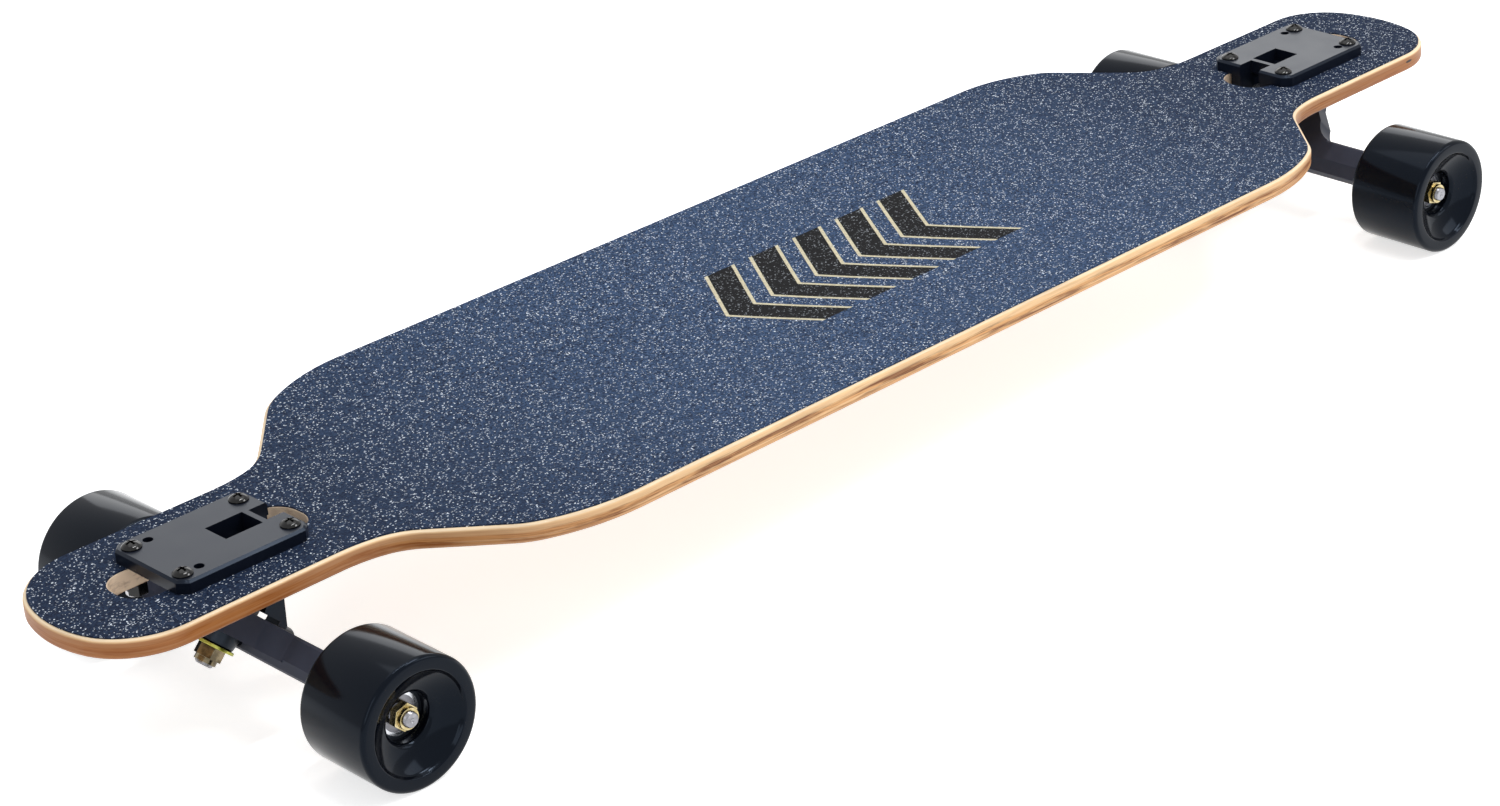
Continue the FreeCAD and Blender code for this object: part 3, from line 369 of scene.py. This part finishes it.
def eased_copy(node, width):
    """A copy of a solid with its sharp edges rounded."""
    piece = copy_piece(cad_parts[node], f"{node}_eased")
    piece.parent = None
    piece.matrix_world = Matrix.Identity(4)
    open_mesh(piece)
    bpy.ops.mesh.customdata_custom_splitnormals_clear()
    bpy.ops.mesh.select_all(action="SELECT")
    bpy.ops.mesh.remove_doubles(threshold=SOLID_MERGE)
    bpy.ops.mesh.dissolve_limited(angle_limit=FLAT_ANGLE)
    close_mesh()
    edge = piece.modifiers.new("edge", "BEVEL")
    edge.width = width
    edge.segments = EDGE_SEGMENTS
    edge.limit_method = "ANGLE"
    edge.angle_limit = EDGE_ANGLE
    edge.miter_outer = "MITER_ARC"
    edge.use_clamp_overlap = True
    edge.harden_normals = False
    bpy.ops.object.modifier_apply(modifier=edge.name)
    bpy.ops.object.shade_smooth_by_angle(angle=EASED_SMOOTH)
    even = piece.modifiers.new("even", "WEIGHTED_NORMAL")
    even.keep_sharp = True
    bpy.ops.object.modifier_apply(modifier=even.name)
    return piece


def coat(mesh, finish):
    """Gives a mesh one finish in place of any other."""
    mesh.materials.clear()
    mesh.materials.append(finish)


def dress(piece, finish, body, node):
    """Gives a piece its finish and its body, and hides the solid that it stands for."""
    coat(piece.data, finish)
    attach(piece, body)
    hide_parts(node)


def paint(finish, *nodes):
    """Gives solids their finish."""
    for node in nodes:
        coat(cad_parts[node].data, finish)


# Finishes

class Flow:
    """A value in a node tree that Python's own signs extend by Math nodes."""

    def __init__(self, nodes, socket):
        self.nodes = nodes
        self.socket = socket

    def worked(self, operation, *values):
        """The result of one Math node."""
        node = self.nodes.node("ShaderNodeMath", {"operation": operation}, *values)
        return Flow(self.nodes, node.outputs[0])

    def __add__(self, other):
        return self.worked("ADD", self, other)

    def __radd__(self, other):
        return self.worked("ADD", other, self)

    def __sub__(self, other):
        return self.worked("SUBTRACT", self, other)

    def __rsub__(self, other):
        return self.worked("SUBTRACT", other, self)

    def __mul__(self, other):
        return self.worked("MULTIPLY", self, other)

    def __rmul__(self, other):
        return self.worked("MULTIPLY", other, self)

    def __truediv__(self, other):
        return self.worked("DIVIDE", self, other)

    def __rtruediv__(self, other):
        return self.worked("DIVIDE", other, self)

    def __mod__(self, other):
        return self.worked("FLOORED_MODULO", self, other)

    def __rmod__(self, other):
        return self.worked("FLOORED_MODULO", other, self)

    def __pow__(self, other):
        return self.worked("POWER", self, other)

    def __rpow__(self, other):
        return self.worked("POWER", other, self)

    def __abs__(self):
        return self.worked("ABSOLUTE", self)

    def __lt__(self, other):
        return self.worked("LESS_THAN", self, other)

    def __gt__(self, other):
        return self.worked("GREATER_THAN", self, other)

    def step(self, low, high):
        """Rises smoothly from 0 at low to 1 at high."""
        node = self.nodes.node("ShaderNodeMapRange", {"interpolation_type": "SMOOTHSTEP"},
                               Value=self, **{"From Min": low, "From Max": high})
        return Flow(self.nodes, node.outputs["Result"])


class Nodes:
    """A node tree that is added to node by node."""

    def __init__(self, tree):
        self.tree = tree

    def find(self, kind):
        """The node of a kind that a new tree already holds."""
        return next(node for node in self.tree.nodes if node.bl_idname == kind)

    def node(self, kind, settings=None, *values, **named):
        """One node: its settings first, then its sockets' values or links."""
        node = self.tree.nodes.new(kind)
        for key, value in (settings or {}).items():
            if key == "stops":
                ramp = node.color_ramp
                while len(ramp.elements) < len(value):
                    ramp.elements.new(0.5)
                for element, (position, tint) in zip(ramp.elements, value):
                    element.position = position
                    element.color = tint
            else:
                setattr(node, key, value)
        for key, value in list(enumerate(values)) + list(named.items()):
            self.feed(node.inputs[key], value)
        return node

    def feed(self, socket, value):
        """Links a value to a socket, or sets the socket to a plain number or colour."""
        if isinstance(value, Flow):
            self.tree.links.new(value.socket, socket)
        elif isinstance(value, bpy.types.NodeSocket):
            self.tree.links.new(value, socket)
        else:
            socket.default_value = value

    def backdrop_rays(self):
        """1 for the rays that see the pale backdrop, which are camera, glossy and transmission rays."""
        path = self.node("ShaderNodeLightPath")
        camera, glossy, through = (Flow(self, path.outputs[f"Is {kind} Ray"])
                                   for kind in ("Camera", "Glossy", "Transmission"))
        seen = camera + glossy + through
        return seen.worked("MINIMUM", seen, 1.0)


class Finish(Nodes):
    """A material, with its shader and the object coordinates that its patterns follow."""

    def __init__(self, name):
        self.material = bpy.data.materials.new(name)
        self.material.use_nodes = True
        super().__init__(self.material.node_tree)
        self.shader = self.find("ShaderNodeBsdfPrincipled")
        self.place = self.node("ShaderNodeTexCoord").outputs["Object"]

    def axes(self):
        """The three object coordinates as values."""
        split = self.node("ShaderNodeSeparateXYZ", None, self.place)
        return [Flow(self, output) for output in split.outputs]

    def noise(self, scale, detail=2.0, roughness=0.5, distortion=0.0):
        """Soft clouds of one scale, or of three that stretch them along the axes."""
        place = self.place
        if isinstance(scale, tuple):
            place = self.node("ShaderNodeMapping", None, place, Scale=scale).outputs[0]
            scale = 1.0
        node = self.node("ShaderNodeTexNoise", None, Vector=place, Scale=scale, Detail=detail,
                         Roughness=roughness, Distortion=distortion)
        return Flow(self, node.outputs["Fac"])

    def cells(self, scale):
        """Two random values for each grain."""
        node = self.node("ShaderNodeTexVoronoi", None, Vector=self.place, Scale=scale)
        split = self.node("ShaderNodeSeparateColor", None, node.outputs["Color"])
        return Flow(self, split.outputs[0]), Flow(self, split.outputs[1])

    def mix(self, factor, low, high):
        """A colour between two others."""
        # The Mix node's colour sockets share their names with its others, so they go by number
        node = self.node("ShaderNodeMix", {"data_type": "RGBA"}, factor)
        self.feed(node.inputs[6], low)
        self.feed(node.inputs[7], high)
        return node.outputs[2]

    def bump(self, height, distance, strength):
        """Fine relief."""
        node = self.node("ShaderNodeBump", None, Strength=strength, Distance=distance, Height=height)
        self.set(Normal=node.outputs[0])

    def set(self, **sockets):
        """Sets or links sockets of the shader by name."""
        for key, value in sockets.items():
            self.feed(self.shader.inputs[key.replace("_", " ")], value)


def wood():
    """Plies along the deck's edge and clear maple below."""
    c = colours()
    finish = Finish("maple_plies")
    x, y, z = finish.axes()
    top = DECK_TOP + y * y / (2 * CONCAVE_RADIUS)
    wander = finish.noise((14, 14, 14), detail=3.0)
    level = (top - z) / DECK_THICKNESS
    depth = level + (wander - 0.5) * PLY_WANDER * (1.0 - level)
    stops = [(at, linear(getattr(c, ply))) for at, ply in PLIES]
    plies = finish.node("ShaderNodeValToRGB", {"stops": stops}, depth)

    # Glue lines and streaks, strongest in the middle plies
    strand = finish.noise((26, 26, 1300), detail=5.0, roughness=0.65, distortion=0.6)
    patch = finish.noise((20, 20, 240), detail=4.0, roughness=0.6)
    middle = depth.step(0.25, 0.42) * (1.0 - depth.step(0.72, 0.88))
    streak = strand.step(0.46, 0.62) * 0.6 + patch.step(0.46, 0.64) * 0.75
    edge = finish.mix(streak * (0.2 + middle * 0.8), plies.outputs[0], linear(c.ply_brown))

    # The brown toward the ends, and raw end grain in the slots, painted paler than it is to lift the shade
    # inside them
    stain = abs(x).step(STAIN_START, STAIN_FULL) * depth.step(0.06, 0.2) * STAIN_DEPTH
    cut = (abs(y) < SLOT_HALF) * (abs(abs(x) - SLOT_AT) < SLOT_REACH)
    blotch = finish.noise((90, 90, 260), detail=4.0, roughness=0.65)
    end_grain = finish.mix(blotch.step(0.5, 0.7) * 0.4, linear(c.ply_raw_painted_paler), linear(c.ply_brown))
    edge = finish.mix(cut * SLOT_DEPTH, finish.mix(stain, edge, linear(c.stain)), end_grain)

    # One small dark knot in the edge of the front right end
    reach = ((x - KNOT_X) / KNOT_RUN) ** 2.0 + ((top - z - KNOT_DEPTH) / KNOT_HALF) ** 2.0
    knot = (1.0 - reach.step(0.5, 1.0)) * (y < 0.0)
    edge = finish.mix(knot, edge, linear(c.band))

    # Grain along the underside
    run = finish.noise((9, 240, 240), detail=5.0, roughness=0.6, distortion=0.4)
    pores = finish.noise((60, 1500, 1500), detail=3.0, roughness=0.6)
    figure = run.step(0.35, 0.7) * 0.55 + pores.step(0.55, 0.75) * 0.25
    below = finish.mix(figure, linear(c.underside), linear(c.ply_amber))
    finish.set(Base_Color=finish.mix(level.step(0.985, 0.995), edge, below),
               Roughness=0.40 + strand * 0.18, Coat_Weight=0.06, Specular_IOR_Level=0.3)
    finish.bump(strand, distance=0.05 * MM, strength=0.5)
    return finish.material


def grit():
    """Coarse slate-blue grit, darker toward the ends, with painted glints on some facets and printed
    arrows.
    """
    c = colours()
    finish = Finish("grip_grit")
    x, y, _ = finish.axes()
    level, tilt = finish.cells(FACETS)
    fine, _ = finish.cells(GRAINS)
    cloud = finish.noise(9.0, detail=4.0)
    # Painted glints: a few grains are painted near white in place of light glinting off their facets
    painted_glint = level.step(0.91, 0.95) * (0.2 + tilt * 0.8)
    grain = finish.mix(fine, linear(c.grit), linear(c.grit_pale))
    worn = finish.mix(cloud.step(0.35, 0.65) * 0.2, grain, shaded(c.grit_pale, 0.85))
    # Darker toward the ends
    darker_ends = abs(x).step(DARK_ENDS_START, DARK_ENDS_FULL) * DARK_ENDS_DEPTH
    tape = finish.mix(painted_glint, finish.mix(darker_ends, worn, linear(c.grit)), linear(c.painted_grit_glint))

    # Black arrows between cream lines
    ahead = x - ARROWS_AT - abs(y) * ARROW_SLOPE
    across = abs((ahead + ARROW_STEP / 2) % ARROW_STEP - ARROW_STEP / 2)
    inside = (abs(y) < ARROW_REACH) * (abs(ahead) < ARROW_STEP * ARROWS / 2)
    black = (across < ARROW_HALF) * inside
    line = (across < ARROW_HALF + ARROW_LINE) * inside - black
    # The painted glints also show on the black print
    ink = finish.mix(painted_glint * 0.35, linear(c.band), linear(c.painted_grit_glint))
    cream = finish.mix(fine * 0.6, linear(c.band_line), shaded(c.band_line, 0.72))
    printed = finish.mix(line, finish.mix(black, tape, ink), cream)
    finish.set(Base_Color=printed, Roughness=0.82 - painted_glint * 0.35, Specular_IOR_Level=0.12)
    finish.bump(level * 0.6 + fine * 0.4, distance=0.3 * MM, strength=0.8)
    return finish.material


def cast_paint(name, tint, rough, shine):
    """Satin black paint over a fine cast skin."""
    finish = Finish(name)
    skin = finish.noise(1400.0, detail=3.0, roughness=0.6)
    cloud = finish.noise(70.0, detail=3.0)
    finish.set(Base_Color=finish.mix(cloud, shaded(tint, TONE_LOW), shaded(tint, TONE_HIGH)),
               Roughness=rough + (cloud - 0.5) * 0.10, Specular_IOR_Level=shine,
               Specular_Tint=linear(colours().sheen))
    finish.bump(skin, distance=0.02 * MM, strength=0.25)
    return finish.material


def black_hardware():
    """Black oxide on the mounting bolts and nuts."""
    c = colours()
    finish = Finish("black_oxide")
    cloud = finish.noise(400.0, detail=3.0)
    finish.set(Base_Color=finish.mix(cloud, linear(c.bolt), shaded(c.bolt, 1.6)),
               Roughness=0.08 + cloud * 0.06, Specular_IOR_Level=0.36)
    return finish.material


def metal(name, bright, deep, rough):
    """Plated or bare metal in two tones, with faint clouds and turning marks."""
    finish = Finish(name)
    cloud = finish.noise(260.0, detail=3.0)
    marks = finish.noise((300, 6000, 300))
    finish.set(Base_Color=finish.mix(cloud.step(0.35, 0.65), bright, deep), Metallic=1.0,
               Roughness=rough + (marks - 0.5) * 0.14)
    finish.bump(marks, distance=0.01 * MM, strength=0.3)
    return finish.material


def cast_urethane(name, tint, rough, shine):
    """Poured urethane with a soft gloss and faint flow marks."""
    finish = Finish(name)
    flow = finish.noise(45.0, detail=4.0, roughness=0.55)
    fine = finish.noise(1500.0)
    finish.set(Base_Color=finish.mix(flow, shaded(tint, TONE_LOW), shaded(tint, TONE_HIGH)),
               Roughness=rough + (flow - 0.5) * 0.06, Specular_IOR_Level=shine,
               Specular_Tint=linear(colours().sheen))
    finish.bump(fine, distance=0.003 * MM, strength=0.3)
    return finish.material


# Operators

class LONGBOARD_OT_wheels(bpy.types.Operator):
    """Turns one tyre about its axle and copies it to the other wheels"""

    bl_idname = "longboard.wheels"
    bl_label = "Wheels"

    def execute(self, context):
        s = sizes()
        low, high = (Vector(v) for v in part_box("front_left_tyre"))
        middle = Vector(((low.x + high.x) / 2, 0, (low.z + high.z) / 2))
        side = 1 if low.y > 0 else -1
        radius = (high.z - low.z) / 2
        inner, outer = sorted((abs(low.y), abs(high.y)))
        floor = outer - s.dish_depth
        recess = inner + s.recess_depth
        recess_edge = (s.recess_radius + s.recess_depth, inner)
        ring = (s.wheel_ring, outer)
        foot = (s.dish_edge, outer - s.dish_step)
        mouth = (s.wheel_bore + s.bore_round, floor)
        throat = (s.wheel_bore, floor - s.bore_round)
        points = [(s.wheel_bore, s.core_start), (s.wheel_bore, recess), (s.recess_radius, recess),
                  recess_edge, (radius, inner), (radius, outer), ring, foot]
        points += arc(foot, mouth, s.dish_bowl, -1, BOWL_STEPS)
        points += [mouth, throat, (s.wheel_bore, s.core_end), (s.core_radius, s.core_end),
                   (s.core_radius, s.core_start)]
        rounds = [((radius, inner), s.wheel_lip), ((radius, outer), s.wheel_lip), (ring, s.ring_round),
                  (foot, s.dish_round), (mouth, s.dish_round), (throat, s.dish_round),
                  (recess_edge, s.recess_round)]
        front_left = turned("front_left_tyre_turned", points, middle, (0, side, 0), UPRIGHT, TYRE_STEPS,
                            rounds)
        front_right = half_turn(front_left, "front_right_tyre_turned", middle.x)
        rear_left = half_turn(front_right, "rear_left_tyre_turned", 0)
        rear_right = half_turn(front_left, "rear_right_tyre_turned", 0)
        finish = cast_urethane("black_wheel_urethane", colours().urethane, rough=0.12, shine=0.14)
        for wheel, tyre in zip(WHEELS, (front_left, front_right, rear_left, rear_right)):
            dress(tyre, finish, f"{wheel}_wheel", f"{wheel}_tyre")
        return {"FINISHED"}


class LONGBOARD_OT_bushings(bpy.types.Operator):
    """Turns the two bushings of one truck and copies them to the other"""

    bl_idname = "longboard.bushings"
    bl_label = "Bushings"

    def execute(self, context):
        s = sizes()
        finish = cast_urethane("black_bushing_urethane", colours().bushing, rough=0.36, shine=0.4)
        shapes = (("boardside", 1, s.boardside_height, s.boardside_radius, s.boardside_radius),
                  ("roadside", -1, s.roadside_height, s.roadside_radius, s.roadside_tip))
        crossing, up = self.kingpin(1)
        spans, fronts = [], []
        for place, way, height, wide, tip in shapes:
            first, last = way * s.bushing_seat, way * (s.bushing_seat + height)
            corners = [(s.bushing_bore, first), (wide, first), (tip, last), (s.bushing_bore, last)]
            rounds = [((wide, first), s.bushing_round), ((tip, last), s.bushing_round)]
            spans.append((place, first, last))
            fronts.append(turned(f"front_{place}_bushing_turned", corners, crossing, up, (0, 1, 0),
                                 BUSHING_STEPS, rounds))
        rears = [half_turn(front, f"rear_{place}_bushing_turned", 0)
                 for front, (place, _, _) in zip(fronts, spans)]
        for (end, out), pieces in zip(TRUCKS, (fronts, rears)):
            crossing, up = self.kingpin(out)
            for piece, (place, first, last) in zip(pieces, spans):
                coat(piece.data, finish)
                tuple(crossing + up * last)
                tuple(crossing + up * first)
                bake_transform(piece)
                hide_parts(f"{end}_{place}_bushing")
        return {"FINISHED"}

    def kingpin(self, out):
        """Where a truck's kingpin crosses its hanger, and the kingpin's way up to the board."""
        s = sizes()
        crossing = Vector((out * s.crossing_x, 0, s.crossing_z))
        up = Vector((-out * math.sin(s.kingpin_lean), 0, math.cos(s.kingpin_lean)))
        return crossing, up


class LONGBOARD_OT_castings(bpy.types.Operator):
    """Rounds the edges of the baseplates and hangers"""

    bl_idname = "longboard.castings"
    bl_label = "Castings"

    def execute(self, context):
        s, c = sizes(), colours()
        plate = cast_paint("baseplate_paint", c.plate, rough=0.3, shine=0.22)
        # The hangers' paint is lighter than black: painted sheen in place of their reflections
        arms_paint_and_sheen = cast_paint("hanger_paint_and_sheen", c.hanger, rough=0.46, shine=0.08)
        for end, _ in TRUCKS:
            base = eased_copy(f"{end}_baseplate", s.plate_round)
            dress(base, plate, "board", f"{end}_baseplate")
            hanger = eased_copy(f"{end}_hanger", s.casting_round)
            dress(hanger, arms_paint_and_sheen, f"{end}_truck", f"{end}_hanger")
        return {"FINISHED"}


class LONGBOARD_OT_hardware(bpy.types.Operator):
    """Rounds the nuts, bolts and washers"""

    bl_idname = "longboard.hardware"
    bl_label = "Nuts, bolts and washers"

    def execute(self, context):
        s, c = sizes(), colours()
        black = black_hardware()
        gold = metal("gold_plate", linear(c.nut), linear(c.nut_shade), rough=0.26)
        # The kingpin nuts get a darker copy of the axle nuts' plating: painted shade
        shaded_gold = metal("gold_plate_painted_shade", linear(c.nut_painted_shade), shaded(c.nut_painted_shade, SHADED_NUT_DEPTH), rough=0.2)
        zinc = metal("yellow_zinc_plate", linear(c.washer), linear(c.washer_shade), rough=0.34)
        for end, _ in TRUCKS:
            for node, finish, body, slot in (
                    ("mounting_bolts", black, "board", "black_steel"),
                    ("mounting_nuts", black, "board", "black_steel"),
                    ("kingpin_nut", shaded_gold, "board", "yellow_zinc"),
                    ("boardside_washer", zinc, "board", "yellow_zinc"),
                    ("roadside_washer", zinc, "board", "yellow_zinc"),
                    ("axle_nuts", gold, f"{end}_truck", "yellow_zinc")):
                piece = eased_copy(f"{end}_{node}", s.hardware_round)
                dress(piece, finish, body, f"{end}_{node}")
        return {"FINISHED"}


class LONGBOARD_OT_axles(bpy.types.Operator):
    """Turns one axle with the threads at its ends and copies it to the other truck"""

    bl_idname = "longboard.axles"
    bl_label = "Axles"

    def execute(self, context):
        s, c = sizes(), colours()
        steel = metal("axle_steel", linear(c.steel), shaded(c.steel, STEEL_SHADE), rough=0.28)
        low, high = (Vector(v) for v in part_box("front_axle"))
        middle = Vector(((low.x + high.x) / 2, 0, (low.z + high.z) / 2))
        radius, half = (high.z - low.z) / 2, high.y
        root = radius - s.thread_depth
        dimple = radius / 3
        turns = int(s.thread_run / s.thread_pitch)
        right = []
        for turn in range(turns):
            foot = half - s.thread_depth - (turns - turn) * s.thread_pitch
            right += [(radius, foot), (root, foot + s.thread_pitch / 2)]
        right += [(radius, half - s.thread_depth), (root, half), (dimple, half), (0, half - dimple)]
        left = [(out, -along) for out, along in reversed(right)]
        front = turned("front_axle_turned", left + right, middle, (0, 1, 0), UPRIGHT, AXLE_STEPS,
                       ring=False)
        rear = half_turn(front, "rear_axle_turned", 0)
        for end, axle in (("front", front), ("rear", rear)):
            dress(axle, steel, f"{end}_truck", f"{end}_axle")
        return {"FINISHED"}


class LONGBOARD_OT_finishes(bpy.types.Operator):
    """Finishes the deck, the grip tape, the shafts and the bearings"""

    bl_idname = "longboard.finishes"
    bl_label = "Deck, shafts and bearings"

    def execute(self, context):
        c = colours()
        paint(wood(), "deck")
        paint(grit(), "grip_tape")
        steel = metal("bare_steel", linear(c.steel), shaded(c.steel, STEEL_SHADE), rough=0.28)
        chrome = metal("bearing_steel", linear(c.chrome), shaded(c.chrome, BEARING_SHADE), rough=0.16)
        pressed = metal("pressed_shield", linear(c.shield), shaded(c.shield, BEARING_SHADE), rough=0.30)
        core = cast_urethane("dark_core", c.core, rough=0.45, shine=0.4)
        cup = cast_urethane("dark_cup", c.bushing, rough=0.5, shine=0.4)
        for end, _ in TRUCKS:
            paint(steel, *(f"{end}_{node}" for node in ("kingpin", "speed_washers", "bearing_spacers")))
            paint(chrome, f"{end}_bearing_inner_races")
            paint(cup, f"{end}_pivot_cup")
        for wheel in WHEELS:
            paint(core, f"{wheel}_hub")
            paint(chrome, *(f"{wheel}_bearing_{node}" for node in ("outer_races", "balls")))
            paint(pressed, f"{wheel}_bearing_shields")
        return {"FINISHED"}


class LONGBOARD_OT_stage(bpy.types.Operator):
    """Sets the floor, the sky, the lamps and the camera"""

    bl_idname = "longboard.stage"
    bl_label = "Stage"

    def execute(self, context):
        self.lay_floor(context)
        self.hang_sky(context.scene)
        for lamp in LAMPS:
            self.hang_lamp(context.scene, *lamp)
        self.place_camera(context.scene)
        context.scene.view_settings.view_transform = "Standard"
        return {"FINISHED"}

    def lay_floor(self, context):
        """A pale floor that keeps the shadow, is white to the camera and is clear from below."""
        bpy.ops.object.select_all(action="DESELECT")
        bpy.ops.mesh.primitive_plane_add(size=FLOOR_SIZE, location=(0, 0, 0))
        floor = context.object
        floor.name = "floor"
        pale = Finish("pale_floor")
        cloud = pale.noise(3.0) * FLOOR_CLOUD
        pale.set(Base_Color=pale.mix(cloud, linear(colours().floor), linear(FLOOR_SHADE)), Roughness=0.9)
        plain = pale.shader.outputs[0]
        glow = pale.node("ShaderNodeEmission", None, WHITE, FLOOR_GLOW)
        lit = pale.node("ShaderNodeAddShader", None, plain, glow.outputs[0])
        above = pale.node("ShaderNodeMixShader", None, pale.backdrop_rays(), plain, lit.outputs[0])
        facing = pale.node("ShaderNodeNewGeometry")
        clear = pale.node("ShaderNodeBsdfTransparent")
        both = pale.node("ShaderNodeMixShader", None, facing.outputs["Backfacing"], above.outputs[0],
                         clear.outputs[0])
        pale.feed(pale.find("ShaderNodeOutputMaterial").inputs["Surface"], both.outputs[0])
        floor.data.materials.append(pale.material)

    def hang_sky(self, scene):
        """Soft light from all round, with a white backdrop."""
        scene.world = bpy.data.worlds.new("studio")
        scene.world.use_nodes = True
        studio = Nodes(scene.world.node_tree)
        sky = studio.find("ShaderNodeBackground")
        studio.feed(sky.inputs["Color"], SKY_COLOUR)
        studio.feed(sky.inputs["Strength"], SKY_STRENGTH)
        backdrop = studio.node("ShaderNodeBackground", None, WHITE, 1.0)
        both = studio.node("ShaderNodeMixShader", None, studio.backdrop_rays(), sky.outputs[0],
                           backdrop.outputs[0])
        studio.feed(studio.find("ShaderNodeOutputWorld").inputs["Surface"], both.outputs[0])

    def hang_lamp(self, scene, name, place, aim, wide, tall, power):
        """One soft lamp turned to its aim."""
        data = bpy.data.lights.new(name, "AREA")
        data.shape = "RECTANGLE"
        data.size = wide
        data.size_y = tall
        data.energy = power
        lamp = bpy.data.objects.new(name, data)
        scene.collection.objects.link(lamp)
        lamp.location = place
        lamp.rotation_euler = (Vector(aim) - Vector(place)).to_track_quat("-Z", "Y").to_euler()

    def place_camera(self, scene):
        """The camera at the photograph's viewing angle."""
        data = bpy.data.cameras.new("view")
        data.lens = CAMERA_LENS
        data.sensor_width = CAMERA_SENSOR
        data.sensor_fit = "HORIZONTAL"
        data.clip_start = CAMERA_NEAR
        camera = bpy.data.objects.new("view", data)
        scene.collection.objects.link(camera)
        turn = Matrix((CAMERA_RIGHT, CAMERA_UP, CAMERA_BACK)).transposed().to_4x4()
        camera.matrix_world = Matrix.Translation(CAMERA_PLACE) @ turn
        scene.camera = camera


class LONGBOARD_PT_panel(bpy.types.Panel):
    """Lists the steps that dress the longboard, with its sizes and colours"""

    bl_idname = "LONGBOARD_PT_panel"
    bl_label = "Longboard"
    bl_space_type = "VIEW_3D"
    bl_region_type = "UI"
    bl_category = "Longboard"

    def draw(self, context):
        for step in STEPS:
            self.layout.operator(step.bl_idname)
        for group in (context.scene.longboard_sizes, context.scene.longboard_colours):
            column = self.layout.column()
            for key in group.bl_rna.properties.keys():
                if key not in {"rna_type", "name"}:
                    column.prop(group, key)


STEPS = (LONGBOARD_OT_wheels, LONGBOARD_OT_bushings, LONGBOARD_OT_castings, LONGBOARD_OT_hardware,
         LONGBOARD_OT_axles, LONGBOARD_OT_finishes, LONGBOARD_OT_stage)
CLASSES = (LongboardSizes, LongboardColours) + STEPS + (LONGBOARD_PT_panel,)


def register():
    """Registers the classes and gives the scene its sizes and colours."""
    for item in CLASSES:
        bpy.utils.register_class(item)
    bpy.types.Scene.longboard_sizes = bpy.props.PointerProperty(type=LongboardSizes)
    bpy.types.Scene.longboard_colours = bpy.props.PointerProperty(type=LongboardColours)


def unregister():
    """Takes the sizes, colours and classes away again."""
    del bpy.types.Scene.longboard_colours
    del bpy.types.Scene.longboard_sizes
    for item in reversed(CLASSES):
        bpy.utils.unregister_class(item)


def main():
    """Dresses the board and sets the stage."""
    register()
    bpy.ops.longboard.wheels()
    bpy.ops.longboard.bushings()
    bpy.ops.longboard.castings()
    bpy.ops.longboard.hardware()
    bpy.ops.longboard.axles()
    bpy.ops.longboard.finishes()
    bpy.ops.longboard.stage()


if __name__ == "__main__":
    main()
